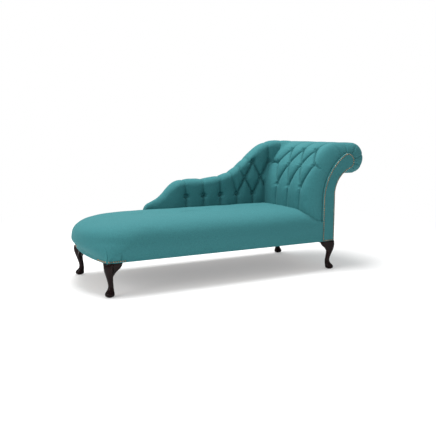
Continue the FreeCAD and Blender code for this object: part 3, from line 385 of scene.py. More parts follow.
def settle(obj, held, cap):
    """Lets the cover settle as cloth under the push of the stuffing, held along its folds.

    No point moves further than the cap, in mm.
    """
    scene = bpy.context.scene
    group = obj.vertex_groups.new(name="held")
    group.add([int(k) for k in np.flatnonzero(held.ravel())], 1.0, "REPLACE")
    cloth = obj.modifiers.new("cloth", "CLOTH")
    cloth.settings.quality = 3
    cloth.settings.mass = 0.35
    cloth.settings.tension_stiffness = 18.0
    cloth.settings.compression_stiffness = 10.0
    cloth.settings.shear_stiffness = 6.0
    cloth.settings.bending_stiffness = 0.6
    cloth.settings.use_pressure = True
    cloth.settings.uniform_pressure_force = STUFFING_PRESSURE
    cloth.settings.vertex_group_mass = "held"
    cloth.settings.effector_weights.gravity = 0.0
    cloth.collision_settings.use_collision = False
    cloth.point_cache.frame_start = 1
    cloth.point_cache.frame_end = SETTLE_FRAMES
    for number in range(1, SETTLE_FRAMES + 1):
        scene.frame_set(number)
    moved = np.zeros(len(obj.data.vertices) * 3)
    graph = bpy.context.evaluated_depsgraph_get()
    obj.evaluated_get(graph).data.vertices.foreach_get("co", moved)
    obj.modifiers.remove(cloth)
    scene.frame_set(1)
    start = np.zeros(len(moved))
    obj.data.vertices.foreach_get("co", start)
    step = (moved - start).reshape(-1, 3)
    length = np.linalg.norm(step, axis=1)[:, None] + 1e-12
    step *= np.minimum(1.0, cap * MM / length)
    obj.data.vertices.foreach_set("co", start + step.ravel())
    obj.data.update()
    obj.vertex_groups.remove(group)
    return obj


# Scroll end: the lines that its parts share


def on_circle(cx, cz, radius, turn):
    """A point on a circle seen from the front. Turn 0 is towards the foot end and 90 is up."""
    a = math.radians(turn)
    return cx - radius * math.cos(a), cz + radius * math.sin(a)


def turn_of(dx, dz):
    return math.degrees(math.atan2(dz, -dx)) % 360.0


def arc_points(cx, cz, radius, start, end, step=2.0):
    count = max(2, int(abs(math.radians(end - start)) * radius / step))
    return [on_circle(cx, cz, radius, lerp(start, end, k / count)) for k in range(count + 1)]


# The boards: an upright, a hollow, a round bulb and a neck, where each arc touches the next.
HOLLOW_R, NECK_R, BULB_R = 337.0, 166.0, 50.0
BULB_REACH, BULB_Z = 183.0, 671.0
NECK_BACK = 2.8
BULB_X = SCROLL_IN + BULB_REACH
HOLLOW_X = SCROLL_IN + HOLLOW_R
HOLLOW_Z = BULB_Z - math.sqrt((HOLLOW_R - BULB_R) ** 2 - (HOLLOW_X - BULB_X) ** 2)
NECK_X = HEAD_X - NECK_BACK + NECK_R
NECK_Z = BULB_Z - math.sqrt((NECK_R + BULB_R) ** 2 - (NECK_X - BULB_X) ** 2)
HOLLOW_TURN = turn_of(BULB_X - HOLLOW_X, BULB_Z - HOLLOW_Z)
NECK_TURN = turn_of(BULB_X - NECK_X, BULB_Z - NECK_Z)
UPRIGHT_STEPS = 60


def scroll_line(offset, z_low, neck_end):
    """Up the inner side, round the bulb and down the neck, set off outwards."""
    steps = range(UPRIGHT_STEPS)
    points = [(SCROLL_IN - offset, lerp(z_low, HOLLOW_Z, k / UPRIGHT_STEPS)) for k in steps]
    points += arc_points(HOLLOW_X, HOLLOW_Z, HOLLOW_R + offset, 0, HOLLOW_TURN)[:-1]
    points += arc_points(BULB_X, BULB_Z, BULB_R + offset, HOLLOW_TURN, NECK_TURN + 180)[:-1]
    points += arc_points(NECK_X, NECK_Z, NECK_R - offset, NECK_TURN, neck_end)
    return np.array(points)


# The pad's crown: an upright face, a hollow face, a wide crest, a short flat top and the roll.
PAD_LOW = 298.0
PAD_THICKNESS = 95.8
FACE_X = SCROLL_IN - PAD_THICKNESS
FACE_R, FACE_Z, FACE_TURN = 413.0, 450.0, 42.0
CREST_R = 175.0
TOP_TURN = 90.0
ROLL_X, ROLL_R, ROLL_END = 826.0, 96.0, 262.0
TUCK_TURN, PAD_NECK_TURN = 58.0, 57.0
FACE_CX = FACE_X + FACE_R
END_X, END_Z = on_circle(FACE_CX, FACE_Z, FACE_R, FACE_TURN)
CREST_X = END_X + CREST_R * math.cos(math.radians(FACE_TURN))
CREST_Z = END_Z - CREST_R * math.sin(math.radians(FACE_TURN))
ROLL_Z = CREST_Z + CREST_R - ROLL_R


def crown_line():
    """Up the pad's face, over its crest, round the roll, and in under it to the tacking rail."""
    points = [(FACE_X, lerp(PAD_LOW, FACE_Z, k / UPRIGHT_STEPS)) for k in range(UPRIGHT_STEPS)]
    points += arc_points(FACE_CX, FACE_Z, FACE_R, 0, FACE_TURN)[:-1]
    points += arc_points(CREST_X, CREST_Z, CREST_R, FACE_TURN, TOP_TURN)[:-1]
    points += arc_points(ROLL_X, ROLL_Z, ROLL_R, TOP_TURN, ROLL_END)
    end = on_circle(NECK_X, NECK_Z, NECK_R, TUCK_TURN)
    points.append((lerp(points[-1][0], end[0], 0.4), points[-1][1] + 1.0))
    points.append((end[0] + 3.0, end[1] - 9.0))
    return points


def run_at_turn(turn):
    """Length up the crown line from the pad's lower edge to a turn of the face or crest."""
    run = FACE_Z - PAD_LOW + FACE_R * math.radians(min(turn, FACE_TURN))
    return run + CREST_R * math.radians(max(turn - FACE_TURN, 0.0))


# Scroll end: the buttoned pad

SCROLL_TURNS = (9.5, 30.0, 53.0)
SCROLL_PITCH = 131.0
SCROLL_MIDDLE = -40.0
SCROLL_WELL = 40.0
BUTTON_SEAT = 36.0
DIAMOND = (28.0, 28.0, 66.0)
SIDE_ROUND = 54.0
SIDE_SQUARENESS = 1.75
FLAT_HALF = BOARD_OUTER - SIDE_ROUND
CREST_FLUTE = 190.0
GATHERS, GATHER_TURN = 6, 66.0
SCROLL_SETTLE = 7.0


def scroll_columns(row):
    """Places of the buttons across a row, from rear to front. The middle row has one more."""
    count = 4 if row == 1 else 3
    return [SCROLL_MIDDLE + SCROLL_PITCH * ((count - 1) / 2 - k) for k in range(count)]


def scroll_base(crown):
    """The point of the frame that lies under each point of the crown, evened out along the line."""
    line, _ = even(scroll_line(FIT, PAD_LOW, PAD_NECK_TURN), 1.0)
    gaps = np.linalg.norm(crown[:, None, :] - line[None, :, :], axis=2)
    nearest = np.maximum.accumulate(np.argmin(gaps, axis=1)).astype(float)
    nearest[-1] = len(line) - 1
    for _ in range(30):
        nearest[1:-1] = (nearest[:-2] + nearest[1:-1] * 2 + nearest[2:]) / 4
    return np.stack([np.interp(nearest, np.arange(len(line)), line[:, k]) for k in (0, 1)], axis=1)


def scroll_section():
    """Across the pad from rear to front: the place, the share of its full height, and the cloth's length."""
    quarter = np.linspace(0, math.pi / 2, 26)
    power = 2 / SIDE_SQUARENESS
    side_y = FLAT_HALF + SIDE_ROUND * np.cos(quarter) ** power
    side_h = np.sin(quarter) ** power
    middle = np.linspace(FLAT_HALF, -FLAT_HALF, 184)[1:-1]
    y = np.concatenate([side_y, middle, -side_y[::-1]])
    h = np.concatenate([side_h, np.ones(len(middle)), side_h[::-1]])
    side = running_length(np.stack([side_y, 80 * side_h], axis=1))
    across = [FLAT_HALF + side[-1] - side, middle, side[::-1] - FLAT_HALF - side[-1]]
    return y, h, np.concatenate(across)


def scroll_folds(a, b, edge, top):
    """Diamonds between three rows of buttons, flutes below and above, and a fold out to each side."""
    tufts = Tufts(a, b)
    rows = [run_at_turn(turn) for turn in SCROLL_TURNS]
    for row in (0, 2):
        for column in scroll_columns(row):
            for side in (-SCROLL_PITCH / 2, SCROLL_PITCH / 2):
                tufts.crease((rows[row], column), (rows[1], column + side), *DIAMOND)
    for column in scroll_columns(0):
        tufts.crease((rows[0], column), (-5.0, column), 20.0, 7.0, 54.0, 1.0)
    flute_end = rows[2] + CREST_FLUTE
    for column in scroll_columns(2):
        tufts.crease((rows[2], column), (flute_end, column), 20.0, 8.0, 54.0, 1.0)
        tufts.crease((flute_end, column), (top + 5.0, column), 8.0, 3.0, 46.0, 1.0)
    rear, *_, front = scroll_columns(1)
    tufts.crease((rows[1], front), (rows[1] - 14.0, -edge), 22.0, 7.0, 42.0)
    tufts.crease((rows[1], rear), (rows[1] - 8.0, edge), 20.0, 6.0, 50.0)
    for row in (0, 2):
        tufts.crease((rows[row], scroll_columns(row)[-1]), (rows[1], front), *DIAMOND)
    for row in range(3):
        for column in scroll_columns(row):
            tufts.button((rows[row], column), SCROLL_WELL)
    return tufts


def roll_gathers(a, b, edge, top):
    """Uneven small gathers where the cloth is drawn in round both ends of the roll."""
    gathers = Tufts(a, b)
    start = run_at_turn(GATHER_TURN)
    spacing = (top - start - 60) / GATHERS
    for side in (-1, 1):
        for k in range(GATHERS):
            at = start + spacing * (k + 0.5 + 0.18 * math.sin(5.1 * k + side))
            reach = 112.0 + 18.0 * math.sin(2.3 * k + 1.0)
            inner_end = (at + 6 * math.sin(k), side * (edge - reach))
            gathers.crease((at, side * edge), inner_end, 13.0, 1.0, 26.0, 1.0)
    return gathers


def rear_rim(crown, run, y):
    """How far the rear of the crest rises, to meet the top line of the back rest."""
    places, rises = (585.0, 605.0, 650.0, 705.0, 760.0), (0.0, 40.0, 19.0, 4.0, 0.0)
    on_crest = (run > run_at_turn(FACE_TURN)) & (run < run_at_turn(TOP_TURN) + 70.0)
    rise = np.where(on_crest, np.interp(crown[:, 0], places, rises), 0.0)
    return rise[:, None], ease((y - 180.0) / 50.0)


def scroll_pad():
    """The buttoned cover of the scroll end, closed by a hidden back on the frame's line."""
    crown, run = even(crown_line(), 2.7)
    base = scroll_base(crown)
    along = np.gradient(crown, axis=0)
    along /= np.linalg.norm(along, axis=1)[:, None]
    normal = np.stack([-along[:, 1], along[:, 0]], axis=1)
    y, h, across = scroll_section()
    a = np.repeat(run[:, None], len(y), axis=1)
    b = np.repeat(across[None, :], len(run), axis=0)
    edge = across[0] + 5.0
    tufts = scroll_folds(a, b, edge, run[-1])
    gathers = roll_gathers(a, b, edge, run[-1])
    depth = np.maximum(tufts.depth(), gathers.depth())
    wave = drift(a, b, 120.0, 0.7) + drift(a, b, 40.0, 0.25)

    height = np.linalg.norm(crown - base, axis=1)[:, None]
    toward = (crown - base) / height
    body = base[:, None, :] + (crown - base)[:, None, :] * h[None, :, None]
    blend = h[None, :, None] ** 2
    direction = normal[:, None, :] * blend + toward[:, None, :] * (1 - blend)
    hold = np.clip(1.15 * h[None, :], 0, 1)
    lift = np.minimum(depth, 0.8 * height * h[None, :]) - wave * hold
    body = body - direction * lift[:, :, None]
    squeeze = np.where(np.abs(y)[None, :] > FLAT_HALF, blurred(gathers.pull) * 0.35, 0.0)
    rise, rear = rear_rim(crown, run, y)
    grid = np.zeros((len(run), len(y), 3))
    grid[:, :, 0] = body[:, :, 0]
    grid[:, :, 1] = y[None, :] - np.sign(y)[None, :] * squeeze
    grid[:, :, 2] = body[:, :, 1] + rise * (rear * h)[None, :]

    shares = (0.75, 0.5, 0.25)
    inner = np.zeros((len(run), len(shares), 3))
    for k, share in enumerate(shares):
        inner[:, k, 0] = base[:, 0]
        inner[:, k, 1] = lerp(BOARD_OUTER, -BOARD_OUTER, share)
        inner[:, k, 2] = base[:, 1]
    whole = np.concatenate([grid, inner], axis=1)
    lengths = np.stack([with_back(a, len(shares)), with_back(b, len(shares))], axis=2)
    pad = skin("scroll_tufted_pad", whole, lengths, teal)
    folded = (tufts.groove + gathers.groove > 1.5) | (tufts.pull > 29.0)
    held = np.ones(whole.shape[:2], bool)
    held[2:-2, 3 : len(y) - 3] = folded[2:-2, 3:-3]
    return settle(pad, held, SCROLL_SETTLE)


def scroll_button_places():
    """Middle and outward direction of each button's underside, in mm."""
    places = []
    for row, turn in enumerate(SCROLL_TURNS):
        if turn <= FACE_TURN:
            x, z = on_circle(FACE_CX, FACE_Z, FACE_R, turn)
        else:
            x, z = on_circle(CREST_X, CREST_Z, CREST_R, turn)
        out = (-math.cos(math.radians(turn)), 0.0, math.sin(math.radians(turn)))
        for column in scroll_columns(row):
            places.append(((x - BUTTON_SEAT * out[0], column, z - BUTTON_SEAT * out[2]), out))
    return places


# Back rest

BACK_START, BACK_END = -372.0, 638.0
BACK_LOW = 340.0
BACK_REAR = 302.0
BACK_ROLL = 42.0
BACK_NOSE, BACK_NOSE_Z = 27.0, 366.0
BACK_LINE = ((-390, 392), (-341, 408), (-268, 444), (-190, 536), (-130, 554), (20, 553), (137, 567))
BACK_LINE += ((230, 596), (320, 665), (440, 762), (520, 792), (605, 797), (640, 786))
BACK_FIRST, BACK_PITCH = -107.0, 123.5
BACK_ROWS = (445.0, 551.0, 655.0)
BACK_WELL = 37.0
BACK_BUTTON_SEAT = 33.0
BACK_SETTLE = 6.0


def back_top(x):
    """Serpentine top line through a few heights, rounded off over 60 mm, with a round nose."""
    x = np.asarray(x, float)
    knot_x, knot_z = np.array(BACK_LINE, float).T
    shifts = np.linspace(-30.0, 30.0, 13)
    line = sum(np.interp(x + shift, knot_x, knot_z) for shift in shifts) / len(shifts)
    t = np.clip((x - BACK_START) / BACK_NOSE, 0, 1)
    nose = lerp(BACK_NOSE_Z, line, np.sqrt(np.maximum(t * (2 - t), 0)))
    return np.where(t < 1, nose, line)


def back_face(x):
    """Depth of the pad's face, which comes forward from the thin foot end."""
    return lerp(262.0, 205.0, ease((np.asarray(x, float) + 365.0) / 215.0))


def panel_line():
    """Top edge of the outside back panel, read from its own mesh, in mm."""
    mesh = nodes["back_outside_panel"].data
    points = np.zeros(len(mesh.vertices) * 3)
    mesh.vertices.foreach_get("co", points)
    points = points.reshape(-1, 3) / MM
    columns = {}
    for px, _, pz in points:
        key = round(px)
        columns[key] = max(columns.get(key, pz), pz)
    keys = np.array(sorted(k for k in columns if columns[k] > SEAT_HEIGHT))
    return keys, np.array([columns[k] for k in keys])


def back_column(k):
    return BACK_FIRST + BACK_PITCH * k


def back_spots():
    """Places of the buttons: five along the seat, then two and two up the tall end."""
    low, middle, high = BACK_ROWS
    spots = [(k, low) for k in range(5)]
    spots += [(3.5, middle), (4.5, middle), (4, high), (5, high)]
    return [(back_column(k), z) for k, z in spots]


def back_section(x):
    """The pad's rows at each x, up its face, over its round top and down to a lip behind.

    Gives each row's depth, height and length of cloth, and how far the lip drops below the top.
    """
    top, face = back_top(x), back_face(x)
    roll = np.minimum(BACK_ROLL, 0.45 * (top - BACK_LOW))
    middle = face + 0.46 * (BACK_REAR - face)
    edge = top - roll
    rows = []
    for t in np.linspace(0, 1, 120)[:-1]:
        height = lerp(BACK_LOW, edge, t)
        rows.append((face, height, height))
    for angle in np.linspace(0, math.pi / 2, 22)[:-1]:
        depth = middle - (middle - face) * math.cos(angle)
        rows.append((depth, edge + roll * math.sin(angle), edge + 0.5 * (roll + middle - face) * angle))
    # The lip laps over the outside panel's top edge, so that no gap shows between the two.
    panel_x, panel_z = panel_line()
    lip = np.where(x > panel_x[0], np.interp(x, panel_x, panel_z) - 3.0, top - 22.0)
    drop = np.minimum(top - lip, 0.5 * (top - BACK_LOW))
    rear = np.where(x > panel_x[0] - 2.0, PANEL_OUTER + 0.9, BACK_REAR)
    over = edge + 0.5 * (roll + middle - face) * math.pi / 2
    for angle in np.linspace(0, math.pi / 2, 14):
        depth = middle + (rear - middle) * math.sin(angle)
        length = over + 0.5 * (drop + BACK_REAR - middle) * angle
        rows.append((depth, top - drop + drop * math.cos(angle), length))
    depths, heights, lengths = np.array(rows).transpose(1, 0, 2)
    return depths, heights, lengths, drop


def back_folds(lengths, x):
    """Flutes down to the seat, diamonds at the tall end, and pleats from the buttons over the top."""
    tufts = Tufts(lengths, x)
    low, middle, high = BACK_ROWS

    def over_top(start, foot_x):
        """A pleat from a button to the top line and over it."""
        rim = float(back_top(foot_x)) - BACK_ROLL
        tufts.crease(start, (rim, foot_x), 20.0, 12.0, 54.0, 1.0)
        lean = (foot_x - start[1]) * 0.5
        tufts.crease((rim, foot_x), (rim + 130.0, foot_x + lean), 12.0, 5.0, 46.0, 1.0)

    for k in range(5):
        tufts.crease((low, back_column(k)), (BACK_LOW - 5.0, back_column(k)), 18.0, 10.0, 52.0, 1.0)
    for k in range(3):
        over_top((low, back_column(k)), back_column(k) - (2.0 if k else 8.0))
    over_top((low, back_column(3)), 225.0)
    over_top((middle, back_column(3.5)), 286.0)
    over_top((high, back_column(4)), 352.0)
    over_top((high, back_column(5)), 506.0)
    for (z, k), (end_z, end_k) in (
        ((low, 3), (middle, 3.5)),
        ((low, 4), (middle, 3.5)),
        ((low, 4), (middle, 4.5)),
        ((low, 5), (middle, 4.5)),
        ((middle, 3.5), (high, 4)),
        ((middle, 4.5), (high, 4)),
        ((middle, 4.5), (high, 5)),
    ):
        tufts.crease((z, back_column(k)), (end_z, back_column(end_k)), 21.0, 21.0, 56.0)
    for column, z in back_spots():
        tufts.button((z, column), BACK_WELL)
    # The pad draws in a little where it goes down behind the seat.
    tufts.pull = np.maximum(tufts.pull, 6.0 * np.exp(-(((lengths - 352.0) / 16.0) ** 2)))
    return tufts


def back_pad():
    """The buttoned cover of the back rest, closed by a hidden back and foot."""
    x = np.linspace(BACK_START, BACK_END, 372)
    depths, heights, lengths, drop = back_section(x)
    gx = np.repeat(x[None, :], len(depths), axis=0)
    tufts = back_folds(lengths, gx)
    ends = np.clip((gx - BACK_START) / 40.0, 0, 1)
    depth = tufts.depth() * ends
    wave = (drift(lengths, gx, 130.0, 0.7) + drift(lengths, gx, 42.0, 0.2)) * ends
    along_z = np.gradient(heights, axis=0)
    along_y = np.gradient(depths, axis=0)
    slope = np.hypot(along_z, along_y) + 1e-9
    lift = np.minimum(depth, 0.45 * (BACK_REAR - depths) + 8.0) - wave
    lip_fade = np.clip((np.arange(len(depths))[::-1] / 6.0), 0, 1)[:, None]
    lift = lift * lip_fade
    face = [gx, depths + lift * along_z / slope, heights - lift * along_y / slope]
    grid = np.stack(face, axis=2).transpose(1, 0, 2)

    inner = np.zeros((len(x), 2, 3))
    inner[:, :, 0] = x[:, None]
    inner[:, :, 1] = BACK_REAR
    inner[:, 0, 2] = lerp(back_top(x) - drop, BACK_LOW, 0.4)
    inner[:, 1, 2] = BACK_LOW
    whole = np.concatenate([grid, inner], axis=1)[:, ::-1]
    cloth_lengths = np.stack([with_back(gx.T, 2), with_back(lengths.T, 2)], axis=2)[:, ::-1]
    pad = skin("back_tufted_pad", whole, cloth_lengths, teal)
    loose = (tufts.groove < 1.5) & (tufts.pull < 27.0) & (lengths > 360.0)
    slack = np.zeros(gx.shape, bool)
    slack[3:-8, 6:-6] = loose[3:-8, 6:-6]
    held = np.pad(~slack.T, ((0, 0), (0, 2)), constant_values=True)[:, ::-1]
    return settle(pad, held, BACK_SETTLE)


# Seat

SKIRT_TOP = 198.0
WIDEST_Z = 270.0
ROUND_RISE = 102.0
FOOT_SWELL, HEAD_SWELL = 18.0, 3.0
NOSE_REACH = 84.0
FULL_CORNER, FULL_END_R = 198.0, 415.0
# Height of the crown, and how far in from the widest line it is there.
CROWN = ((270, 0), (288, 1.2), (304, 4), (319, 9), (332, 16), (343, 25), (352.5, 36), (361, 50), (368, 67))
CROWN += ((373.5, 87), (378, 110), (381.6, 138), (384, 170), (385.6, 208), (386.4, 250), (386.7, 296))
CROWN_RINGS = 57
SKIRT_RINGS, SIDE_RINGS = 4, 24
SIDE_POINTS, CORNER_POINTS, END_POINTS = 200, 80, 130
UV_RING, NORMAL_RING = 28, 30


def plan_line(head_half, foot_half, nose_x, corner, end_radius, tail_x):
    """Seat outline from the front at the tail, round the foot end, to the rear at the tail."""
    drop = math.sqrt((end_radius - corner) ** 2 - (foot_half - corner) ** 2)
    cx = nose_x + end_radius - drop
    cy = foot_half - corner
    turn = math.atan2(cy, nose_x + end_radius - cx)
    shares = [1 - (1 - k / SIDE_POINTS) ** 1.8 for k in range(SIDE_POINTS)]
    points = [(lerp(tail_x, cx, share), lerp(-head_half, -foot_half, share)) for share in shares]
    for k in range(CORNER_POINTS):
        a = lerp(math.pi / 2, turn, k / CORNER_POINTS)
        points.append((cx - corner * math.cos(a), -(cy + corner * math.sin(a))))
    back = [(px, -py) for px, py in points]
    centre = nose_x + end_radius
    swing = math.atan2(cy + corner * math.sin(turn), centre - cx + corner * math.cos(turn))
    for k in range(END_POINTS + 1):
        a = lerp(-swing, swing, k / END_POINTS)
        points.append((centre - end_radius * math.cos(a), end_radius * math.sin(a)))
    return np.array(points + back[::-1])


def seat_ring(z, swell, inset, roundness):
    """Outline of the seat at a height: 0 is as at the rails, 1 as full and as round as it gets."""
    end_radius = 1 / lerp(1 / FOOT_BOW_R, 1 / FULL_END_R, roundness)
    corner = lerp(BASE_CORNER, FULL_CORNER, roundness)
    half_head = BASE_HALF + HEAD_SWELL * swell - inset
    half_foot = BASE_HALF + FOOT_SWELL * swell - inset
    share = half_foot / (BASE_HALF + FOOT_SWELL * swell)
    nose = FOOT_X - lerp(FOOT_BOW, NOSE_REACH, swell) + inset
    tail = SCROLL_IN - FIT
    line = plan_line(half_head, half_foot, nose, max(corner * share, 3.0), end_radius * share, tail)
    return np.concatenate([line, np.full((len(line), 1), z)], axis=1)


def seat_levels():
    """(height, swell, inset) from the bottom edge to the crown, at fine steps."""
    skirt = SKIRT_TOP - LEG_HEIGHT
    levels = [(LEG_HEIGHT + skirt * k / SKIRT_RINGS, 0.0, 0.0) for k in range(SKIRT_RINGS + 1)]
    for k in range(1, SIDE_RINGS + 1):
        share = k / SIDE_RINGS
        levels.append((SKIRT_TOP + (WIDEST_Z - SKIRT_TOP) * share, math.sin(share * math.pi / 2), 0.0))
    crown, _ = even(CROWN, count=CROWN_RINGS)
    return levels + [(z, 1.0, inset) for z, inset in crown[1:]]


def outward_normals(grid):
    normal = np.cross(np.gradient(grid, axis=0), np.gradient(grid, axis=1))
    normal /= np.linalg.norm(normal, axis=2)[:, :, None] + 1e-9
    from_middle = grid[NORMAL_RING] - np.array([-200.0, 0, 250.0])
    return normal * np.sign(np.sum(normal[NORMAL_RING] * from_middle, axis=1))[None, :, None]


def foot_pleats(grid):
    """Two small pleats at each foot corner, where the cloth is drawn in and nailed.

    One follows a column of points round the corner, and leans, and the other is upright on the side.
    """
    x, y, z = grid[:, :, 0], grid[:, :, 1], grid[:, :, 2]
    columns = grid.shape[1]
    spacing = np.linalg.norm(np.gradient(grid, axis=1), axis=2)
    pleats = np.zeros(z.shape)
    for side in (-1, 1):
        for kind, length in (("corner", 74.0), ("side", 52.0)):
            t = np.clip((z - LEG_HEIGHT - 10.0) / length, 0, 1)
            if kind == "side":
                off = x - (FOOT_X + 80.0)
            else:
                along = 242.0 + 28.0 * t**1.5
                if side > 0:
                    along = columns - 1 - along
                off = -side * (np.arange(columns)[None, :] - along) * spacing
            near = (np.sign(y) == side) & (np.abs(y) > 120.0) & (z < 300)
            fade = (1 - t) ** 0.6 * np.clip((z - LEG_HEIGHT - 4.0) / 8.0, 0, 1)
            valley = 4.6 * np.exp(-((off / 2.8) ** 2)) - 1.4 * np.exp(-(((off - 7.0) / 5.0) ** 2))
            pleats -= near * fade * valley
    return pleats


def seat():
    """The seat's cover: full and round at the foot end, pressed down along both pads."""
    grid = np.array(
        [
            seat_ring(z, swell, inset, math.sin(np.clip((z - SKIRT_TOP) / ROUND_RISE, 0, 1) * math.pi / 2))
            for z, swell, inset in seat_levels()
        ]
    )
    first = SKIRT_RINGS + 1
    grid[first:, :, 2] = blurred(grid[:, :, 2], 2)[first:]
    steps = np.linalg.norm(np.diff(grid, axis=0), axis=2)
    up = np.concatenate([np.zeros((1, steps.shape[1])), np.cumsum(steps, axis=0)])
    around = np.repeat(running_length(grid[UV_RING])[None, :], len(grid), axis=0)
    x, y, z = grid[:, :, 0], grid[:, :, 1], grid[:, :, 2]
    lift = drift(x, y + z, 300.0, 1.1) + drift(x, y + z, 90.0, 0.3)
    hold = np.clip((z - LEG_HEIGHT) / 60.0, 0.12, 1)
    cover = grid + outward_normals(grid) * (lift * hold + foot_pleats(grid))[:, :, None]

    # The foot end slopes down, the cover dips where the pads press on it, and rolls down beside the scroll.
    cover[:, :, 2] -= 17.0 * ease((-500.0 - x) / 340.0) * np.clip((z - 230.0) / 156.0, 0, 1)
    tuck = np.exp(-np.maximum(FACE_X - 2.0 - x, 0) / 15.0) * np.clip((BASE_HALF - np.abs(y)) / 60.0, 0, 1)
    to_back = np.maximum(back_face(x) - 1.0 - y, 0)
    behind = np.exp(-to_back / 13.0) * np.clip((x - BACK_START) / 25.0, 0, 1)
    cover[:, :, 2] -= 15.0 * np.maximum(tuck, behind) * np.clip((z - 340.0) / 30.0, 0, 1)
    beside = ease((x - 455.0) / 100.0) * ease((np.abs(y) - 225.0) / 75.0) * (z > 300.0)
    cover[:, :, 2] -= 0.75 * beside * (cover[:, :, 2] - 300.0)

    # Two rings turn the cloth in under the rails.
    turned_in = ((LEG_HEIGHT + 6.0, 7.5), (LEG_HEIGHT + 0.4, 7.0))
    inner = np.array([seat_ring(z_in, 0.0, inset, 0.0) for z_in, inset in turned_in])
    up = np.concatenate([np.zeros((len(inner), up.shape[1])), up])
    around = np.concatenate([around[: len(inner)], around])
    lengths = np.stack([around, up], axis=2)
    return skin("seat_cover_cloth", np.concatenate([inner, cover]), lengths, teal)


# Scroll facings

FACING_POINTS = 420
# How far in from the edge each ring of the facing is, and how far out from the board.
FACING_RINGS = ((0.0, 0.0), (0.0, 8.6), (0.35, 10.2), (1.4, 11.4))
FACING_RINGS += ((3.2, 12.0), (9.0, 12.3), (16.0, 12.8), (24.0, 13.2))


def facing_outline(inset):
    """Closed outline of the scroll facing, drawn in."""
    line = scroll_line(-inset, LEG_HEIGHT + inset, 0.0)
    x = NECK_X - NECK_R - inset
    foot = [(x, lerp(NECK_Z, LEG_HEIGHT + inset, k / 40)) for k in range(1, 41)]
    return np.concatenate([line, np.array(foot)])


def facing(side):
    """Covered panel: rolled edge, slightly padded face."""
    name = "front_facing_cloth" if side < 0 else "rear_facing_cloth"
    grid = np.zeros((len(FACING_RINGS), FACING_POINTS, 3))
    for k, (inset, out) in enumerate(FACING_RINGS):
        ring, _ = even(facing_outline(inset), count=FACING_POINTS, closed=True)
        grid[k, :, 0] = ring[:, 0]
        grid[k, :, 1] = side * (BOARD_OUTER + out)
        grid[k, :, 2] = ring[:, 1]
    if side < 0:
        grid = grid[:, ::-1]
    return skin(name, grid, grid[:, :, [0, 2]], teal)


# Nails and buttons

NAIL_PITCH = 12.5
NAIL_INSET = 6.0
NAIL_SEAT = 12.1
CORNER_NAILS = 8
CORNER_NAIL_Z = 188.0


def dome(radius, rise, sides, rings, under=0.0):
    """Points and faces of a round head: a flattened dome, with its flat side a little below the edge."""
    turns = [2 * math.pi * k / sides for k in range(sides)]
    verts = [(radius * math.cos(t), radius * math.sin(t), -under) for t in turns]
    for ring in range(rings):
        a = ring / rings * math.pi / 2
        reach = radius * math.cos(a)
        verts += [(reach * math.cos(t), reach * math.sin(t), rise * math.sin(a)) for t in turns]
    verts.append((0, 0, rise))
    faces = [tuple(reversed(range(sides)))]
    for ring in range(rings):
        for k in range(sides):
            n = (k + 1) % sides
            a = ring * sides
            faces.append((a + k, a + n, a + sides + n, a + sides + k))
    last = rings * sides
    faces += [(last + k, last + (k + 1) % sides, len(verts) - 1) for k in range(sides)]
    return np.array(verts) * MM, faces


def on_points(name, places, head, material):
    """One head repeated at places, each turned to its direction, by a Geometry Nodes tree."""
    points = bpy.data.meshes.new(name + "_points")
    points.from_pydata([tuple(c * MM for c in place) for place, _ in places], [], [])
    facing_way = points.attributes.new("facing", "FLOAT_VECTOR", "POINT")
    facing_way.data.foreach_set("vector", np.array([way for _, way in places], float).ravel())
    host = new_object(name + "_host", points)
    tool = mesh_object(name + "_head", head[0], head[1], material)
    tree = bpy.data.node_groups.new(name + "_repeat", "GeometryNodeTree")
    for in_out in ("INPUT", "OUTPUT"):
        tree.interface.new_socket("Geometry", in_out=in_out, socket_type="NodeSocketGeometry")
    start = add_node(tree, "NodeGroupInput").outputs["Geometry"]
    info = add_node(tree, "GeometryNodeObjectInfo", Object=tool).outputs["Geometry"]
    way = add_node(tree, "GeometryNodeInputNamedAttribute", data_type="FLOAT_VECTOR", Name="facing")
    turn = add_node(
        tree, "FunctionNodeAlignRotationToVector", [(way.outputs["Attribute"], "Vector")], axis="Z"
    ).outputs["Rotation"]
    copies = add_node(
        tree, "GeometryNodeInstanceOnPoints", [(start, "Points"), (info, "Instance"), (turn, "Rotation")]
    ).outputs["Instances"]
    real = add_node(tree, "GeometryNodeRealizeInstances", [(copies, "Geometry")]).outputs["Geometry"]
    painted = add_node(tree, "GeometryNodeSetMaterial", [(real, "Geometry")], Material=material)
    add_node(tree, "NodeGroupOutput", [(painted.outputs["Geometry"], "Geometry")])
    host.modifiers.new("repeat", "NODES").node_group = tree
    mesh = made_plain(host)
    bpy.data.objects.remove(tool)
    mesh.name = name
    mesh.shade_smooth()
    return new_object(name, mesh)


def facing_nail_places(side):
    """All round the facing, close to its edge."""
    line, _ = even(facing_outline(NAIL_INSET), NAIL_PITCH, closed=True)
    return [((px, side * (BOARD_OUTER + NAIL_SEAT), pz), (0, side, 0)) for px, pz in line]


def corner_nail_places():
    """Eight nails along each side of the two foot corners."""
    places = []
    centre = FOOT_X - FOOT_BOW + FOOT_BOW_R
    start = math.asin(FOOT_CHORD / FOOT_BOW_R)
    for side in (-1, 1):
        for k in range(CORNER_NAILS):
            x = FOOT_X + BASE_CORNER + NAIL_PITCH * k
            places.append(((x, side * BASE_HALF, CORNER_NAIL_Z), (0, side, 0)))
        for k in range(CORNER_NAILS):
            a = start - k * NAIL_PITCH / FOOT_BOW_R
            out = (-math.cos(a), side * math.sin(a), 0.0)
            places.append(((centre + out[0] * FOOT_BOW_R, out[1] * FOOT_BOW_R, CORNER_NAIL_Z), out))
    return places


# Legs

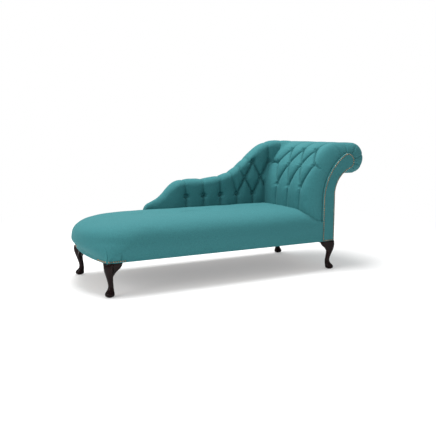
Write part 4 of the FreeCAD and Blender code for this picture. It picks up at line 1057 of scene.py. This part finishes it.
LEG_INSET = 20.0
LEG_SIDES = 48
BLOCK_LOW, LEG_TOP = 164.0, 179.8
BRACKET_FRONT, BRACKET_BACK = 6.0, 28.0
BRACKET_REACH, BRACKET_DROP = 90.0, 108.0
VOXEL = 1.5
# Height, how far the middle leans out to the corner, and radius: foot, ankle and knee.
LEG_ROUNDS = (
    (2.5, 0.0, 17.5),
    (4.5, 0.0, 22.0),
    (8.0, 0.0, 24.8),
    (13.0, 0.0, 25.8),
    (18.0, -0.5, 25.6),
    (23.5, -2.5, 24.0),
    (30.0, -6.8, 20.6),
    (38.0, -11.0, 17.2),
    (48.0, -13.6, 15.0),
    (60.0, -13.6, 14.2),
    (74.0, -10.8, 14.6),
    (90.0, -6.8, 16.2),
    (106.0, -2.8, 18.8),
    (122.0, 0.8, 21.8),
    (140.0, 3.6, 24.8),
    (156.0, 4.6, 26.8),
    (170.0, 3.0, 27.5),
    (179.6, 1.0, 27.5),
)


def leg_rings():
    """Round sections from the pad foot to the knee, a little squared near the top."""
    keys = np.array(LEG_ROUNDS)
    z = np.linspace(keys[0, 0], keys[-1, 0], 90)
    out = np.interp(z, keys[:, 0], keys[:, 1])
    radius = np.interp(z, keys[:, 0], keys[:, 2])
    for _ in range(2):
        out[1:-1] = (out[:-2] + 2 * out[1:-1] + out[2:]) / 4
        radius[1:-1] = (radius[:-2] + 2 * radius[1:-1] + radius[2:]) / 4
    t = np.linspace(0, 2 * math.pi, LEG_SIDES, endpoint=False)
    rings = np.zeros((len(z), LEG_SIDES, 3))
    for k in range(len(z)):
        square = 0.05 * np.clip((z[k] - 120) / 40, 0, 1) * np.cos(4 * (t - math.pi / 4))
        reach = radius[k] * (1.0 - square)
        rings[k, :, 0] = FOOT_X + LEG_INSET - out[k] / math.sqrt(2) + reach * np.cos(t)
        rings[k, :, 1] = -BASE_HALF + LEG_INSET - out[k] / math.sqrt(2) + reach * np.sin(t)
        rings[k, :, 2] = z[k]
    return rings


def bracket_line():
    """Side view of a knee bracket: flat top, and a soft ogee from its tip down to the leg."""
    line = [(BRACKET_BACK, LEG_TOP), (BRACKET_REACH, LEG_TOP)]
    for k in range(17):
        t = k / 16
        line.append((BRACKET_REACH - 50.0 * t, 170.0 - 58.0 * t - 4.0 * math.sin(2 * math.pi * t)))
    return line + [(BRACKET_BACK, BRACKET_DROP)]


def leg_mesh():
    """The front leg of the foot end: round sections, square top and a bracket each side, made one skin."""
    rings = leg_rings()
    verts = list(rings.reshape(-1, 3))
    faces = tube_faces(len(rings), LEG_SIDES)

    def add_prism(profile, place):
        """A prism from a profile, where place gives a point of it at the near and the far end."""
        start = len(verts)
        count = len(profile)
        for depth in (0, 1):
            verts.extend(place(a, b, depth) for a, b in profile)
        faces.append(tuple(start + k for k in reversed(range(count))))
        faces.append(tuple(start + count + k for k in range(count)))
        for k in range(count):
            n = (k + 1) % count
            faces.append((start + k, start + n, start + count + n, start + count + k))

    def block(a, b, depth):
        return (FOOT_X + a, -BASE_HALF + b, lerp(BLOCK_LOW, LEG_TOP, depth))

    def bracket_along_side(a, b, depth):
        return (FOOT_X + a, -BASE_HALF + lerp(BRACKET_FRONT, BRACKET_BACK, depth), b)

    def bracket_along_end(a, b, depth):
        return (FOOT_X + lerp(BRACKET_FRONT, BRACKET_BACK, depth), -BASE_HALF + a, b)

    add_prism([(4, 4), (74, 4), (74, 74), (4, 74)], block)
    add_prism(bracket_line(), bracket_along_side)
    add_prism(bracket_line(), bracket_along_end)
    obj = mesh_object("leg_blank", np.array(verts) * MM, faces, mahogany)
    for rounds in (7, 3):
        remesh = obj.modifiers.new("join", "REMESH")
        remesh.mode = "VOXEL"
        remesh.voxel_size = VOXEL * MM
        smooth = obj.modifiers.new("smooth", "SMOOTH")
        smooth.factor = 0.5
        smooth.iterations = rounds
    mesh = made_plain(obj)
    mesh.materials.clear()
    mesh.materials.append(mahogany)
    mesh.shade_smooth()
    return mesh


def legs():
    """The same leg at each corner, turned or mirrored about the corner of the base."""
    blank = leg_mesh()
    co = np.zeros(len(blank.vertices) * 3)
    blank.vertices.foreach_get("co", co)
    co = co.reshape(-1, 3)
    made = []
    for name, x_sign, y_sign, corner_x in (
        ("front_foot_leg", 1, 1, FOOT_X),
        ("rear_foot_leg", 1, -1, FOOT_X),
        ("front_head_leg", -1, 1, HEAD_X),
        ("rear_head_leg", -1, -1, HEAD_X),
    ):
        mesh = blank.copy()
        moved = co.copy()
        moved[:, 0] = corner_x * MM + x_sign * (co[:, 0] - FOOT_X * MM)
        moved[:, 1] = co[:, 1] * y_sign
        mesh.vertices.foreach_set("co", moved.ravel())
        if x_sign * y_sign < 0:
            mesh.flip_normals()
        mesh.update()
        made.append((new_object(name + "_wood", mesh), name))
    return made


# The pieces, and the solids that they stand for


def finish_piece(obj, slot, *replaced, fill=None):
    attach(obj, "root")
    if replaced:
        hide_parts(*replaced)


CLOTH_SLOT, WOOD_SLOT, BRASS_SLOT = "teal_velvet", "dark_mahogany", "antique_brass"

finish_piece(scroll_pad(), CLOTH_SLOT, "scroll_buttoned_pad", "scroll_foam", fill=0.9)
finish_piece(back_pad(), CLOTH_SLOT, "back_buttoned_pad", "back_foam", fill=0.9)
finish_piece(seat(), CLOTH_SLOT, "seat_cover", "seat_foam", fill=0.95)
finish_piece(facing(-1), CLOTH_SLOT, "scroll_front_facing")
finish_piece(facing(1), CLOTH_SLOT, "scroll_rear_facing")

nail_head = dome(4.1, 3.0, 16, 5)
for name, places in (
    ("front_facing_nails", facing_nail_places(-1)),
    ("rear_facing_nails", facing_nail_places(1)),
    ("foot_corner_nails", corner_nail_places()),
):
    finish_piece(on_points(name + "_row", places, nail_head, brass), BRASS_SLOT, name)

button_head = dome(11.0, 6.0, 28, 9, 4.0)
back_button_places = [
    ((x, float(back_face(x)) + BACK_BUTTON_SEAT, z), (0.0, -1.0, 0.0)) for x, z in back_spots()
]
for name, replaced, places in (
    ("scroll_button_covers", "scroll_buttons", scroll_button_places()),
    ("back_button_covers", "back_buttons", back_button_places),
):
    finish_piece(on_points(name, places, button_head, teal), CLOTH_SLOT, replaced)

for leg_object, leg_name in legs():
    finish_piece(leg_object, WOOD_SLOT, leg_name)


# Floor, light and camera, in metres


def studio_floor():
    """White painted floor that keeps the shadow, and fades to pure white away from the chaise longue."""
    shader = Shader("white_studio_floor", "#f7f7f7", 0.9, Specular_IOR_Level=0.1)
    seen = shader.add("ShaderNodeLightPath").outputs["Is Camera Ray"]
    place = shader.add("ShaderNodeTexCoord").outputs["Object"]
    radius = shader.add("ShaderNodeVectorMath", [(place, 0)], operation="LENGTH").outputs["Value"]
    fade = shader.add("ShaderNodeMapRange", [(radius, "Value")], interpolation_type="SMOOTHSTEP")
    for key, value in (("From Min", 1.2), ("From Max", 3.0), ("To Min", 0.3), ("To Max", 1.0)):
        fade.inputs[key].default_value = value
    share = shader.add("ShaderNodeMath", [(fade.outputs["Result"], 0), (seen, 1)], operation="MULTIPLY")
    white = shader.add("ShaderNodeEmission", Color=WHITE, Strength=1.0)
    both = shader.add(
        "ShaderNodeMixShader",
        [(share.outputs[0], 0), (shader.main.outputs[0], 1), (white.outputs[0], 2)],
    )
    shader.tree.links.new(both.outputs[0], shader.tree.nodes["Material Output"].inputs["Surface"])
    corners = [(-30, -30, 0), (30, -30, 0), (30, 30, 0), (-30, 30, 0)]
    return mesh_object("studio_floor", corners, [(0, 1, 2, 3)], shader.material, smooth=False)


def studio_world():
    """Soft even light from all round, which the camera sees as white."""
    world = bpy.data.worlds.new("studio")
    bpy.context.scene.world = world
    world.use_nodes = True
    sky = world.node_tree.nodes["Background"]
    sky.inputs["Color"].default_value = WHITE
    ray = add_node(world.node_tree, "ShaderNodeLightPath").outputs["Is Camera Ray"]
    level = add_node(world.node_tree, "ShaderNodeMapRange", [(ray, "Value")])
    level.inputs["To Min"].default_value = 0.52
    level.inputs["To Max"].default_value = 1.0
    world.node_tree.links.new(level.outputs["Result"], sky.inputs["Strength"])


def area_light(name, place, target, size, power):
    data = bpy.data.lights.new(name, "AREA")
    data.shape = "RECTANGLE"
    data.size, data.size_y = size
    data.energy = power
    obj = new_object(name, data)
    obj.location = place
    obj.rotation_euler = (Vector(target) - Vector(place)).to_track_quat("-Z", "Y").to_euler()


studio_floor()
studio_world()
area_light("overhead_softbox", (-0.2, 0.5, 4.2), (0.0, 0.0, 0.4), (2.8, 2.0), 245.0)
area_light("left_softbox", (-4.2, -0.8, 2.2), (0.0, 0.0, 0.5), (2.4, 2.0), 70.0)
area_light("front_fill", (-0.8, -4.6, 2.4), (0.0, 0.0, 0.4), (3.0, 2.2), 14.0)

camera_data = bpy.data.cameras.new("camera")
camera_data.lens = 49.95
camera_data.sensor_width = 36.0
camera = new_object("camera", camera_data)
camera.location = (-1.7231, -3.2574, 0.8564)
camera.rotation_euler = (math.radians(81.825), 0.0, math.radians(-27.97))
bpy.context.scene.camera = camera
bpy.context.scene.view_settings.view_transform = "Standard"
